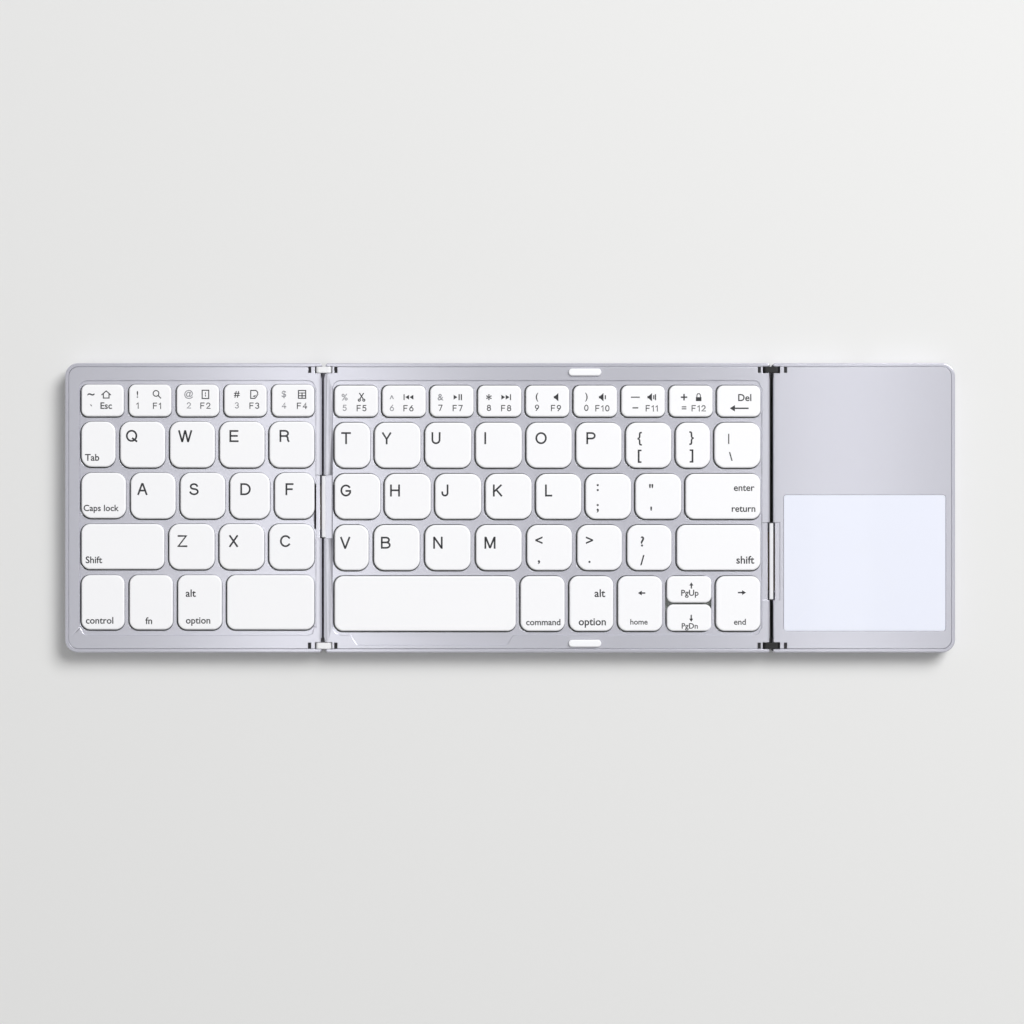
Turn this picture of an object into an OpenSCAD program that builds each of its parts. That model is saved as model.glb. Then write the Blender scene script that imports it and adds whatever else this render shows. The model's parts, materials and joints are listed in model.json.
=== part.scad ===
// Folding keyboard in three panels, in millimetres. Both side panels turn half a turn over
// the middle panel, each on two parallel pins held by a pair of short links.
// The origin lies under the middle of the open keyboard, on the surface that carries it:
// +X points right, +Y to the rear and +Z up.

/* [Panels] */
// Depth of the panels from front to rear
panel_d = 99; // [97:0.5:105]
// Width of the middle panel
middle_w = 152.05; // [148:0.05:158]
// Width of the left panel
left_w = 87.8; // [86:0.1:91]
// Room left between the side panels when both are folded in
meet_gap = 1.8; // [0.6:0.1:2.4]
// Thickness of a panel from its underside to its deck
body_t = 6.9; // [6.9:0.1:7.8]
// Corner radius at the outer ends
outer_r = 4.5; // [3.5:0.25:6]
// Corner radius beside a hinge
hinge_r = 1; // [0.6:0.1:1.4]
// Bevel along the lower edge of a tray
lower_bevel = 0.9; // [0.4:0.1:1.1]
// Bevel along the upper edge of a tray's rim
rim_bevel = 0.25; // [0.1:0.05:0.4]
// Rounding of the deck's edges beside a hinge
edge_round = 0.8; // [0.4:0.05:0.9]

/* [Trays and deck frames] */
// Thickness of a tray's floor
floor_t = 0.8; // [0.7:0.05:1]
// Thickness of a tray's rim
rim_t = 1.25; // [1.1:0.05:1.4]
// Width of the ledge that a deck frame lies on
ledge_w = 0.5; // [0.3:0.05:0.7]
// Thickness of a tray's wall beside a hinge
hinge_wall = 1; // [0.8:0.05:1.1]
// How far a rim stays below the deck
rim_drop = 0.1; // [0:0.05:0.2]
// Thickness of a deck frame at its border
deck_t = 2; // [1.9:0.1:2.2]
// Thickness of the web between the keys
web_t = 0.8; // [0.6:0.1:0.9]
// Thickness of the plain deck of the right panel
plain_t = 1.2; // [1:0.1:1.4]
// Gap between a deck frame and the rim around it
frame_fit = 0.08; // [0.05:0.01:0.15]
// Width of the ribs on a tray's floor
rib_t = 0.8; // [0.6:0.1:1.2]

/* [Keys] */
// Space from the rear edge to the keys
rear_margin = 7.7; // [7.4:0.1:8.2]
// Space from the front edge to the keys
front_margin = 7.1; // [6.8:0.1:7.8]
// Space from the left edge of the left panel to the keys
outer_margin = 5.45; // [5:0.05:6.5]
// Space from the keys to the left panel's edge at its hinge
hinge_margin = 2.45; // [2.3:0.05:3.2]
// Space from the middle panel's edge at the left hinge to the keys
near_margin = 2.85; // [2.5:0.05:3.4]
// Space from the middle panel's edge at the right hinge to the keys
far_margin = 3.25; // [2.5:0.05:3.6]
// Depth of the number keys
number_d = 10.9; // [10:0.1:11.5]
// Depth of the keys in the front row
front_d = 19; // [17:0.1:19.6]
// Gap between two rows
row_gap = 1.8; // [1.5:0.1:2]
// Gap between the two half keys for up and down
half_gap = 0.4; // [0.3:0.05:0.8]
// How far a keycap stands above the deck
cap_proud = 0.4; // [0.2:0.05:0.42]
// Thickness of a keycap's top
cap_roof = 1; // [0.8:0.05:1.2]
// Thickness of a keycap's skirt
cap_wall = 0.9; // [0.7:0.05:1.1]
// Bevel around a keycap's top
cap_bevel = 0.3; // [0.15:0.05:0.4]
// Corner radius of the letter keys
letter_r = 3.6; // [2.5:0.1:4.5]
// Corner radius of the wide keys and the front row
wide_r = 3; // [2:0.1:4]
// Corner radius of the number keys and the half keys
number_r = 2.2; // [1.6:0.1:3]
// Gap around a keycap in its opening
key_fit = 0.35; // [0.2:0.05:0.45]
// Step between the key openings and the edge of the recess
recess_step = 0.15; // [0.1:0.05:0.3]
// Space between the keys and the recess's rear edge
recess_rear = 1.8; // [1:0.1:2.2]
// Space between the keys and the recess's front edge
recess_front = 1.2; // [0.8:0.1:1.6]
// Corner radius of a recess
recess_r = 3; // [2:0.1:3.5]
// Depth of the scoop for the thumbs in front of the recess
scoop_d = 3.4; // [2:0.1:3.6]
// How far a key travels
key_travel = 1.3; // [1:0.1:1.4]
// Room left under a keycap's skirt when the key is down
skirt_clear = 0.5; // [0.3:0.05:0.6]

/* [Key mechanism] */
// Height from the membrane to the underside of a keycap's top
lift_h = 3; // [2.8:0.05:3.1]
// Thickness of the switch membrane
membrane_t = 0.2; // [0.1:0.05:0.3]
// Thickness of the steel key plate
plate_t = 0.4; // [0.3:0.05:0.6]
// How far the key plate reaches past the keys
plate_edge = 0.5; // [0.2:0.1:0.6]
// Width and height of a scissor lift's bars
bar_t = 0.6; // [0.4:0.05:0.7]
// Gap between the two frames of a scissor lift
bar_gap = 0.1; // [0.05:0.05:0.2]
// Gap between the lift and the keycap above it
lift_clear = 0.1; // [0.05:0.05:0.2]

/* [Hinges] */
// Gap between the left and the middle panel
left_gap = 1.3; // [0.9:0.1:1.4]
// Gap between the middle and the right panel
right_gap = 0.9; // [0.9:0.1:1.4]
// Distance between the two pins of a hinge
pin_pitch = 3.3; // [3.2:0.1:3.5]
// Room between two decks when they lie face to face
fold_gap = 1; // [0.9:0.05:1.2]
// Diameter of a hinge pin
pin_dia = 1; // [0.8:0.05:1.2]
// Clearance around a pin in a bracket
pin_fit = 0.05; // [0.03:0.01:0.08]
// Width of a link
link_w = 2.1; // [1.8:0.1:2.2]
// Distance from the panels' end to the middle of a link
link_inset = 2.3; // [2.25:0.05:2.4]
// Clearance beside a link
link_fit = 0.12; // [0.08:0.02:0.15]
// Thickness of a bracket's cheek
cheek_t = 1.4; // [1:0.1:1.6]
// Thickness of a bracket's foot
bracket_t = 0.6; // [0.5:0.05:0.8]
// Thickness of a bracket's upright tab
tab_t = 0.95; // [0.8:0.05:1.1]
// Distance from a hinge's middle line to the tab on the middle panel
inner_tab = 3.7; // [3.4:0.05:3.9]
// Distance from a hinge's middle line to the tab on a side panel
side_tab = 4.35; // [4.2:0.05:4.8]

/* [Cables and covers] */
// Width of the bar over a cable
cover_w = 1.35; // [1.1:0.05:1.4]
// Height of the bar over a cable
cover_h = 0.9; // [0.6:0.05:0.95]
// Length of the bar at the left hinge
left_cover_len = 21; // [18:0.5:24]
// Place of that bar along the depth
left_cover_y = 0.4; // [-8:0.1:8]
// Length of the bar at the right hinge
right_cover_len = 26; // [22:0.5:28]
// Place of that bar along the depth
right_cover_y = -18.3; // [-20:0.1:-10]
// Thickness of a flex cable
flex_t = 0.15; // [0.1:0.05:0.2]
// How much narrower a flex cable is than the bar over it
flex_spare = 6; // [4:0.5:10]
// Half width of the notch around a bar
notch_reach = 1.25; // [1.1:0.05:1.3]
// Depth of the lowered deck beside a bar
relief_d = 0.4; // [0.35:0.05:0.5]

/* [Feet, screws and pads] */
// Height that a foot stands out
foot_out = 0.6; // [0.4:0.05:0.8]
// Depth that a foot is sunk into a tray
foot_in = 0.3; // [0.2:0.05:0.4]
// Length of a foot
foot_len = 12; // [9:0.5:14]
// Width of a foot
foot_w = 4.6; // [3.6:0.1:4.8]
// Distance from the panels' end to the line of the feet
foot_inset = 3.7; // [3.6:0.05:3.8]
// Distance from a panel's edge to its feet
foot_edge = 13; // [12.5:0.5:18]
// Diameter of a screw's shank
screw_dia = 1.4; // [1.2:0.05:1.5]
// Diameter of a screw's head
head_dia = 2.8; // [2.4:0.1:3]
// Height of a screw's head
head_h = 0.5; // [0.4:0.05:0.6]
// Diameter of the bosses in a tray
boss_dia = 4.2; // [3.8:0.1:4.3]
// Height of the bosses in a tray
boss_h = 1.2; // [1:0.1:1.4]
// Diameter of the bosses under a deck frame
post_dia = 3.2; // [2.8:0.1:3.3]
// Length of a bumper pad
pad_len = 11.2; // [9:0.1:13]
// Width of a bumper pad
pad_w = 2.5; // [2:0.1:3]
// Distance from the panels' end to a pad
pad_inset = 3.15; // [3:0.05:3.3]
// Height that a pad stands above the deck
pad_out = 0.9; // [0.6:0.05:0.95]
// Depth that a pad is sunk into the deck
pad_in = 0.6; // [0.4:0.05:0.7]

/* [Touchpad and electronics] */
// Depth of the touchpad
touch_d = 46.5; // [40:0.1:50]
// Distance from the right panel's hinge edge to the touchpad
touch_x = 3.8; // [3.4:0.05:5]
// Distance from the touchpad to the right panel's outer edge
touch_side = 3.35; // [3:0.05:5]
// Distance from the front edge to the touchpad
touch_front = 7.35; // [6:0.05:9]
// Thickness of the touchpad plate
touch_t = 0.7; // [0.5:0.05:0.8]
// Corner radius of the touchpad
touch_r = 0.9; // [0.6:0.1:3]
// Thickness of the sensor board under the touchpad
sensor_t = 0.8; // [0.6:0.1:1]
// Width of the ledge that the touchpad lies on
touch_ledge = 1.6; // [1:0.1:2.2]
// Gap around the touchpad
touch_fit = 0.1; // [0.05:0.01:0.2]
// Thickness of the main board
board_t = 0.8; // [0.6:0.1:1]
// Gap between the brackets' feet and the main board above them
board_up = 0.1; // [0.05:0.05:0.3]
// Depth of the main board behind the touchpad
board_d = 31; // [28:0.5:34]
// Width of the main board's arm beside the hinge
arm_w = 4.6; // [4:0.1:5.5]
// Gap between the main board's edges and what lies around it
board_fit = 1; // [0.6:0.1:1.4]
// Space between the main board's arm and the battery
battery_gap = 7.5; // [4:0.5:12]
// Space between the battery and the ledge at the outer edge
battery_side = 2.6; // [1.5:0.1:6]
// Depth of the battery
battery_d = 40; // [32:0.5:42]
// Thickness of the battery
battery_t = 3.2; // [2.6:0.1:3.6]
// Width of the charging socket
socket_w = 7.5; // [7:0.1:8]
// Height of the charging socket
socket_h = 2.6; // [2.4:0.05:2.8]
// Length of the charging socket
socket_len = 5.6; // [5:0.1:6.5]
// Wall of the charging socket
socket_wall = 0.3; // [0.2:0.05:0.4]
// Distance from the rear edge to the mouth of the charging socket
socket_in = 0.3; // [0.2:0.05:0.6]

/* [Hidden] */
$fn = 48;
eps = 0.01;
far = 20;

silver = [0.84, 0.84, 0.87];
white = [0.97, 0.97, 0.98];
steel = [0.75, 0.76, 0.78];
black = [0.1, 0.1, 0.11];
rubber = [0.2, 0.2, 0.21];
green = [0.12, 0.35, 0.22];
amber = [0.7, 0.45, 0.15];

// Panels along X: left, middle and right, with the two hinges' middle lines between them
right_w = middle_w - left_w - meet_gap;
total_w = left_w + middle_w + right_w + left_gap + right_gap;
panel_w = [left_w, middle_w, right_w];
panel_x0 = [-total_w / 2, -total_w / 2 + left_w + left_gap, total_w / 2 - right_w];
panel_x1 = [for (p = [0:2]) panel_x0[p] + panel_w[p]];
gap_w = [left_gap, right_gap];
gap_x = [panel_x1[0] + left_gap / 2, panel_x1[1] + right_gap / 2];
// Each panel's hinges: number of the hinge, and the way from its middle line into the panel
hinges = [[[0, -1]], [[0, 1], [1, -1]], [[1, 1]]];
tab_x = [side_tab, inner_tab, side_tab];
half_d = panel_d / 2;

// Heights
tray_z = foot_out;
floor_z = tray_z + floor_t;
deck_z = tray_z + body_t;
seat_z = deck_z - deck_t;
web_z = seat_z + web_t;
rim_z = deck_z - rim_drop;
cap_z = deck_z + cap_proud;
membrane_z = cap_z - cap_roof - lift_h;
skirt_z = membrane_z + key_travel + skirt_clear;
plate_z = membrane_z - membrane_t - plate_t;
pin_depth = (pin_pitch - fold_gap) / 2;
pin_z = deck_z - pin_depth;
pin_x = pin_pitch / 2;
flex_z = pin_z - flex_t;
board_z = floor_z + bracket_t + board_up;

// Keys: widths in each row, in proportion, and the gap between them
number_row = 0;
front_row = 4;
grid = 0.02;
// Places and sizes of the keys are rounded to a fine grid
function on_grid(v) = round(v / grid) * grid;
letter_d = on_grid((panel_d - rear_margin - front_margin - number_d - front_d - 4 * row_gap) / 3);
row_d = [number_d, letter_d, letter_d, letter_d, front_d];
key_units = [
    [
        [1, 1, 1, 1, 1],
        [11.9, 15.6, 15.6, 15.6, 15.6],
        [15.5, 15.6, 15.6, 13.9, 13.8],
        [28.6, 15.8, 15.6, 15.7],
        [14.9, 15, 15.2, 30]
    ],
    [
        [1, 1, 1, 1, 1, 1, 1, 1, 1],
        [12.5, 16, 16.1, 16.1, 15.8, 15.8, 15.8, 12, 16],
        [16, 16.1, 16.1, 16.1, 15.8, 15.9, 16, 25.9],
        [12, 16, 15.9, 16, 15.7, 15.6, 15.5, 28.9],
        [62.3, 15.4, 15.3, 15.4, 15.5, 15.5]
    ]
];
key_gaps = [[1.55, 1.4, 1.4, 1.4, 1.5], [1.2, 1.2, 1.15, 1.5, 1.3]];
arrow_pair = 4;
wide_key = 20;
wide_lift = 0.28;
lift_d_max = 10.4;
lift_w_max = 12;
lift_side = 0.7;
lift_nest = 1.6;
foot_step = 1.1;
dome_fit = 0.25;
dome_skin = 0.45;
dome_rim = 0.35;
dome_edge = 0.3;
dome_neck = 0.28;
dome_plunger = 0.5;
field_x0 = [panel_x0[0] + outer_margin, panel_x0[1] + near_margin];
field_x1 = [panel_x1[0] - hinge_margin, panel_x1[1] - far_margin];

function sum_to(v, n) = n < 1 ? 0 : v[n - 1] + sum_to(v, n - 1);
function row_y1(r) = on_grid(half_d - rear_margin - sum_to(row_d, r) - r * row_gap);
function unit(p, r) = let (u = key_units[p][r], n = len(u))
    (field_x1[p] - field_x0[p] - (n - 1) * key_gaps[p][r]) / sum_to(u, n);
function key_x(p, r, i) =
    on_grid(field_x0[p] + unit(p, r) * sum_to(key_units[p][r], i) + i * key_gaps[p][r]);
// A box is [x0, y0, x1, y1]
function key_box(p, r, i) = let (x = key_x(p, r, i))
    [x, row_y1(r) - row_d[r], x + on_grid(unit(p, r) * key_units[p][r][i]), row_y1(r)];
function box_w(b) = b[2] - b[0];
function box_d(b) = b[3] - b[1];
function box_x(b) = (b[0] + b[2]) / 2;
function box_y(b) = (b[1] + b[3]) / 2;
function grown(b, g) = [b[0] - g, b[1] - g, b[2] + g, b[3] + g];
pair_box = key_box(1, front_row, arrow_pair);
up_box = [pair_box[0], box_y(pair_box) + half_gap / 2, pair_box[2], pair_box[3]];
down_box = [pair_box[0], pair_box[1], pair_box[2], box_y(pair_box) - half_gap / 2];
function is_pair(p, r, i) = p == 1 && r == front_row && i == arrow_pair;
function key_r(r, b) =
    r == number_row ? number_r : r == front_row || box_w(b) > wide_key ? wide_r : letter_r;
// Every opening of a panel as [box, radius], then every cap, with the pair as two half keys
function openings(p) = [for (r = [0:front_row]) for (i = [0:len(key_units[p][r]) - 1])
    let (b = key_box(p, r, i)) [b, key_r(r, b)]];
function all_caps(p) = concat(
    [for (r = [0:front_row]) for (i = [0:len(key_units[p][r]) - 1])
        if (!is_pair(p, r, i)) let (b = key_box(p, r, i)) [b, key_r(r, b)]],
    p == 1 ? [[up_box, number_r], [down_box, number_r]] : []);
field_y0 = row_y1(front_row) - front_d;
field_y1 = row_y1(0);
function field(p) = [field_x0[p], field_y0, field_x1[p], field_y1];

// The scoop for the thumbs lies in front of the space key
scoop_slope = 2.2;
scoop_start = 5.7;
scoop_end = 0.9;
space_box = key_box(1, front_row, 0);
rib_inset = 1;
rib_pitch = 28;

// Feet and screws in each panel
foot_y = half_d - foot_inset;
function foot_x(p) = [panel_x0[p] + foot_edge, panel_x1[p] - foot_edge];
boss_z = floor_z + boss_h;
foot_fit = 0.1;
thread_fit = 0.02;
shank_hole = screw_dia + 0.3;
head_room = 0.1;
head_z = tray_z + foot_in + 0.05;
screw_top = deck_z - 1.1;

// The side panels' outer edges, folded over the middle panel, meet above the pads
left_fold_edge = 2 * gap_x[0] - panel_x0[0];
right_fold_edge = 2 * gap_x[1] - panel_x1[2];
pad_x = (left_fold_edge + right_fold_edge) / 2;
pad_y = half_d - pad_inset;
pad_fit = 0.05;

// Hinge parts, from a hinge's middle line and from the panels' end inwards
link_y = half_d - link_inset;
link_y0 = link_y - link_w / 2;
link_y1 = link_y + link_w / 2;
link_reach = pin_x + pin_depth;
cheek_y1 = link_y0 - link_fit;
cheek_y0 = cheek_y1 - cheek_t;
function cheek_x0(g) = gap_w[g] / 2 + 0.15;
cheek_z0 = pin_z - pin_depth;
cheek_z1 = pin_z + 0.8;
bracket_fit = 0.1;
bracket_x1 = 9;
bracket_y0 = link_y - 5.4;
function bracket_wall_x(g) = gap_w[g] / 2 + hinge_wall + 0.2;
tab_z1 = deck_z - 0.15;
peg_dia = 1.5;
peg_x = [6.6, 3.4];
peg_y = [cheek_y0 + 0.7, bracket_y0 + 1.5];
pin_y0 = cheek_y0 + 0.15;
pin_y1 = link_y1 + link_fit + 0.5;
pin_hole_y1 = pin_y1 + 0.1;

// Cables and their bars, at the left and at the right hinge
cover_len = [left_cover_len, right_cover_len];
cover_y = [left_cover_y, right_cover_y];
cover_room = 0.3;
relief_reach = pin_x + 1.3;
flex_bend = pin_x + 0.2;
flex_drop = 0.75;
flex_tail = 2.2;
flex_room = 0.35;

// Right panel
touch_box = [
    panel_x0[2] + touch_x, -half_d + touch_front,
    panel_x1[2] - touch_side, -half_d + touch_front + touch_d
];
under_border = 3;
under_r = 1;
socket_x = panel_x0[2] + right_w / 2;
socket_y1 = half_d - socket_in;
socket_fit = 0.15;
board_x0 = panel_x0[2] + hinge_wall + board_fit;
board_x1 = panel_x1[2] - rim_t - ledge_w - board_fit;
board_y1 = foot_y - boss_dia / 2 - board_fit / 2;
board_y0 = board_y1 - board_d;
tongue_w = socket_w + 1.4;
post_d = 2.4;
post_inset = 2;
arm_rib_y = touch_box[1] + 4;
chip_h = 1;
// Chips: place along the board's width as a share of it, distance from its rear edge, and size
chips = [[0.16, 8, 7], [0.38, 15, 5], [0.72, 14, 6], [0.86, 7, 4]];
battery_y = box_y(touch_box);
battery_box = [
    board_x0 + arm_w + battery_gap, battery_y - battery_d / 2,
    panel_x1[2] - rim_t - ledge_w - battery_side, battery_y + battery_d / 2
];
battery_rib_fit = 0.3;
battery_rib_h = 0.6 * battery_t;

// Plane shapes and slabs

module round_rect(b, rl, rr) {
    xm = rl == rr ? b[2] : box_x(b);
    union() {
        translate([b[0] + rl, b[1]]) square([box_w(b) - rl - rr, box_d(b)]);
        translate([b[0], b[1] + rl]) square([xm - b[0], box_d(b) - 2 * rl]);
        if (rl != rr) translate([xm, b[1] + rr]) square([b[2] - xm, box_d(b) - 2 * rr]);
        for (y = [b[1] + rl, b[3] - rl]) translate([b[0] + rl, y]) circle(rl);
        for (y = [b[1] + rr, b[3] - rr]) translate([b[2] - rr, y]) circle(rr);
    }
}

module stadium(len, w) {
    square([len - w, w], center = true);
    for (s = [-1, 1]) translate([s * (len - w) / 2, 0]) circle(d = w);
}

// Drawn in X and Z, and pulled along Y
module along_y(y0, y1) {
    translate([0, y1, 0]) rotate([90, 0, 0]) linear_extrude(y1 - y0) children();
}

// Drawn in Y and Z, and pulled along X
module along_x(x0, x1) {
    translate([x0, 0, 0]) rotate([90, 0, 90]) linear_extrude(x1 - x0) children();
}

// Profile of a slab from a0 to a1 and from z0 to z1, bevelled by low at its foot and by top
// at its top
function slab_profile(a0, a1, z0, z1, low, top) = concat(
    low > 0 ? [[a0, z0 + low], [a0 + low, z0], [a1 - low, z0], [a1, z0 + low]]
        : [[a0, z0], [a1, z0]],
    top > 0 ? [[a1, z1 - top], [a1 - top, z1], [a0 + top, z1], [a0, z1 - top]]
        : [[a1, z1], [a0, z1]]
);

// The same from a line at 0 out to w, with the bevels at w alone
function half_profile(w, z0, z1, low, top) = concat(
    [[0, z0]],
    low > 0 ? [[w - low, z0], [w, z0 + low]] : [[w, z0]],
    top > 0 ? [[w, z1 - top], [w - top, z1]] : [[w, z1]],
    [[0, z1]]
);

// A slab with corner radius rl at its left end and rr at its right end
module slab(b, rl, rr, z0, z1, low, top) {
    r_max = max(rl, rr);
    r_min = min(rl, rr);
    union() {
        along_y(b[1] + r_max, b[3] - r_max)
            polygon(slab_profile(b[0], b[2], z0, z1, low, top));
        along_x(b[0] + rl, b[2] - rr)
            polygon(slab_profile(b[1], b[3], z0, z1, low, top));
        for (y = [b[1] + rl, b[3] - rl]) translate([b[0] + rl, y, 0])
            rotate_extrude() polygon(half_profile(rl, z0, z1, low, top));
        for (y = [b[1] + rr, b[3] - rr]) translate([b[2] - rr, y, 0])
            rotate_extrude() polygon(half_profile(rr, z0, z1, low, top));
        if (rl != rr)
            translate([rl < rr ? b[0] + 2 * r_max : b[2] - 2 * r_max, 0, 0])
                mirror([rl < rr ? 1 : 0, 0, 0]) along_y(b[1] + r_min, b[3] - r_min)
                    polygon(half_profile(2 * r_max, z0, z1, low, top));
    }
}

module block(x0, x1, y0, y1, z0, z1) {
    translate([x0, y0, z0]) cube([x1 - x0, y1 - y0, z1 - z0]);
}

// Puts what is drawn for the rear end of a hinge, with X into the panel, where it belongs
module at_hinge(h, end) {
    translate([gap_x[h[0]], 0, 0])
        mirror([h[1] < 0 ? 1 : 0, 0, 0])
            mirror([0, end < 0 ? 1 : 0, 0])
                children();
}

// What is cut away to round a deck's edge beside a hinge
module edge_cut(h) {
    x0 = gap_w[h[0]] / 2;
    at_hinge(h, 1) along_y(-half_d - 1, half_d + 1) difference() {
        translate([x0 - 1, deck_z - edge_round]) square(edge_round + 1);
        translate([x0 + edge_round, deck_z - edge_round]) circle(edge_round);
    }
}

module at_feet(p) {
    for (x = foot_x(p)) for (y = [-foot_y, foot_y]) translate([x, y, 0]) children();
}

// Outlines of a panel

function panel_box(p) = [panel_x0[p], -half_d, panel_x1[p], half_d];
function left_r(p) = p == 0 ? outer_r : hinge_r;
function right_r(p) = p == 2 ? outer_r : hinge_r;
// The panel's box, drawn in by side at a closed end and by at_hinge beside a hinge
function inner_box(p, side, at_hinge) = [
    panel_x0[p] + (p == 0 ? side : at_hinge), -half_d + side,
    panel_x1[p] - (p == 2 ? side : at_hinge), half_d - side
];
function inner_r(r, side) = max(r - side, 0.4);

// Trays

module tray_shell(p) {
    low = inner_box(p, rim_t + ledge_w, hinge_wall);
    high = inner_box(p, rim_t, -1);
    difference() {
        slab(panel_box(p), left_r(p), right_r(p), tray_z, rim_z,
            min(lower_bevel, hinge_r - 0.05), rim_bevel);
        translate([0, 0, floor_z]) linear_extrude(body_t)
            round_rect(low, inner_r(left_r(p), rim_t), inner_r(right_r(p), rim_t));
        translate([0, 0, seat_z]) linear_extrude(body_t)
            round_rect(high, inner_r(left_r(p), rim_t), inner_r(right_r(p), rim_t));
    }
}

module foot_shape(grow) {
    stadium(foot_len + 2 * grow, foot_w + 2 * grow);
}

module tray_cuts(p) {
    at_feet(p) {
        translate([0, 0, tray_z - 1]) linear_extrude(foot_in + 1) foot_shape(foot_fit);
        translate([0, 0, tray_z - 1])
            cylinder(h = head_z + head_h + head_room - tray_z + 1, d = head_dia + 2 * head_room);
        cylinder(h = boss_z + 1, d = shank_hole);
    }
    for (h = hinges[p]) {
        edge_cut(h);
        for (end = [-1, 1]) at_hinge(h, end) {
            block(-1, link_reach + 0.15, cheek_y0 - bracket_fit, link_y1 + link_fit,
                cheek_z0 - 0.15, deck_z + 1);
            block(tab_x[p] - bracket_fit, tab_x[p] + tab_t + bracket_fit, cheek_y0,
                half_d - rim_t, cheek_z0 - 0.8, deck_z + 1);
            translate([pin_x, pin_hole_y1, pin_z]) rotate([90, 0, 0])
                cylinder(h = pin_hole_y1 - link_y1, d = pin_dia + 2 * pin_fit);
        }
        g = h[0];
        at_hinge(h, 1)
            block(-1, notch_reach, cover_y[g] - cover_len[g] / 2 - cover_room,
                cover_y[g] + cover_len[g] / 2 + cover_room, floor_z, deck_z + 1);
    }
}

module bosses(p) {
    at_feet(p) translate([0, 0, floor_z - eps]) cylinder(h = boss_h + eps, d = boss_dia);
    for (h = hinges[p]) for (end = [-1, 1]) at_hinge(h, end)
        for (k = [0, 1]) translate([peg_x[k], peg_y[k], floor_z - eps])
            cylinder(h = bracket_t + eps, d = peg_dia);
}

module key_ribs(p) {
    x0 = field_x0[p] + rib_inset;
    x1 = field_x1[p] - rib_inset;
    for (r = [0:front_row - 1]) {
        y = row_y1(r) - row_d[r] - row_gap / 2;
        block(x0, x1, y - rib_t / 2, y + rib_t / 2, floor_z - eps, plate_z);
    }
    count = round((x1 - x0) / rib_pitch);
    for (k = [0:count]) {
        x = x0 + (x1 - x0 - rib_t) * k / count;
        block(x, x + rib_t, field_y0 + 2 * rib_inset, field_y1 - rib_inset, floor_z - eps, plate_z);
    }
}

module tray(p) {
    difference() {
        union() {
            tray_shell(p);
            bosses(p);
        }
        tray_cuts(p);
    }
}

module middle_base() {
    color(silver) union() {
        tray(1);
        key_ribs(1);
    }
}

module left_base() {
    color(silver) union() {
        tray(0);
        key_ribs(0);
    }
}

// The board's posts stand in two rows, and two ribs keep the battery in place
module board_posts() {
    for (x = [board_x0 + post_inset, board_x1 - post_inset])
        for (y = [board_y0 + post_inset, board_y1 - post_inset - post_d])
            translate([x, y, floor_z - eps]) cylinder(h = board_z - floor_z + eps, d = post_d);
    block(board_x0 + board_fit / 2, board_x0 + arm_w - board_fit / 2, arm_rib_y, arm_rib_y + rib_t,
        floor_z - eps, board_z);
}

module battery_ribs() {
    for (y = [battery_box[1] - battery_rib_fit - rib_t, battery_box[3] + battery_rib_fit])
        block(battery_box[0], battery_box[2], y, y + rib_t, floor_z - eps, floor_z + battery_rib_h);
}

// Room for the charging socket in the rear wall, and above it in the deck frame
module socket_room() {
    b = [socket_x - socket_w / 2, socket_y1 - socket_len, socket_x + socket_w / 2, half_d];
    z0 = board_z + board_t;
    block(b[0] - socket_fit, b[2] + socket_fit, b[1] - socket_fit, b[3] + 1,
        z0 - socket_fit, z0 + socket_h + socket_fit);
}

module right_base() {
    color(silver) difference() {
        union() {
            tray(2);
            board_posts();
            battery_ribs();
        }
        socket_room();
    }
}

// Deck frames

module frame_slab(p) {
    outer = inner_box(p, rim_t + frame_fit, 0);
    difference() {
        union() {
            translate([0, 0, seat_z]) linear_extrude(deck_t)
                round_rect(outer, inner_r(left_r(p), rim_t), inner_r(right_r(p), rim_t));
            at_feet(p) translate([0, 0, boss_z])
                cylinder(h = seat_z - boss_z + eps, d = post_dia);
        }
        at_feet(p) translate([0, 0, boss_z - 1])
            cylinder(h = screw_top + 0.2 - boss_z + 1, d = screw_dia + 2 * thread_fit);
        frame_hinge_cuts(p);
    }
}

module frame_hinge_cuts(p) {
    for (h = hinges[p]) {
        edge_cut(h);
        for (end = [-1, 1]) at_hinge(h, end) {
            block(-1, link_reach + 0.15, link_y0 - link_fit, half_d, seat_z - 1, deck_z + 1);
            block(-1, tab_x[p] + tab_t + bracket_fit, cheek_y0 - bracket_fit, half_d,
                seat_z - 1, cheek_z1 + bracket_fit);
            block(tab_x[p] - bracket_fit / 2, tab_x[p] + tab_t + bracket_fit / 2, link_y0,
                half_d, seat_z, deck_z + 1);
        }
        g = h[0];
        y0 = cover_y[g] - cover_len[g] / 2 - cover_room;
        y1 = cover_y[g] + cover_len[g] / 2 + cover_room;
        at_hinge(h, 1) {
            block(-1, notch_reach, y0, y1, seat_z - 1, deck_z + 1);
            block(-1, relief_reach, y0, y1, deck_z - relief_d, deck_z + 1);
            block(-1, relief_reach, y0 + flex_spare / 2, y1 - flex_spare / 2,
                seat_z - 1, pin_z + flex_room);
        }
    }
}

module key_openings(p) {
    translate([0, 0, seat_z - 1]) linear_extrude(deck_t)
        for (k = openings(p)) round_rect(grown(k[0], key_fit), k[1] + key_fit, k[1] + key_fit);
}

module recess(p) {
    side = key_fit + recess_step;
    b = [field_x0[p] - side, field_y0 - recess_front, field_x1[p] + side, field_y1 + recess_rear];
    translate([0, 0, web_z]) linear_extrude(deck_t) round_rect(b, recess_r, recess_r);
}

module thumb_scoop() {
    x0 = space_box[0] + scoop_start;
    x1 = space_box[2] - scoop_end;
    y1 = field_y0 - recess_front;
    y0 = y1 - scoop_d;
    translate([0, 0, web_z]) linear_extrude(deck_t)
        polygon([
            [x0, y1 + 1], [x0, y1], [x0 + scoop_slope, y0],
            [x1 - scoop_slope, y0], [x1, y1], [x1, y1 + 1]
        ]);
}

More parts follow.
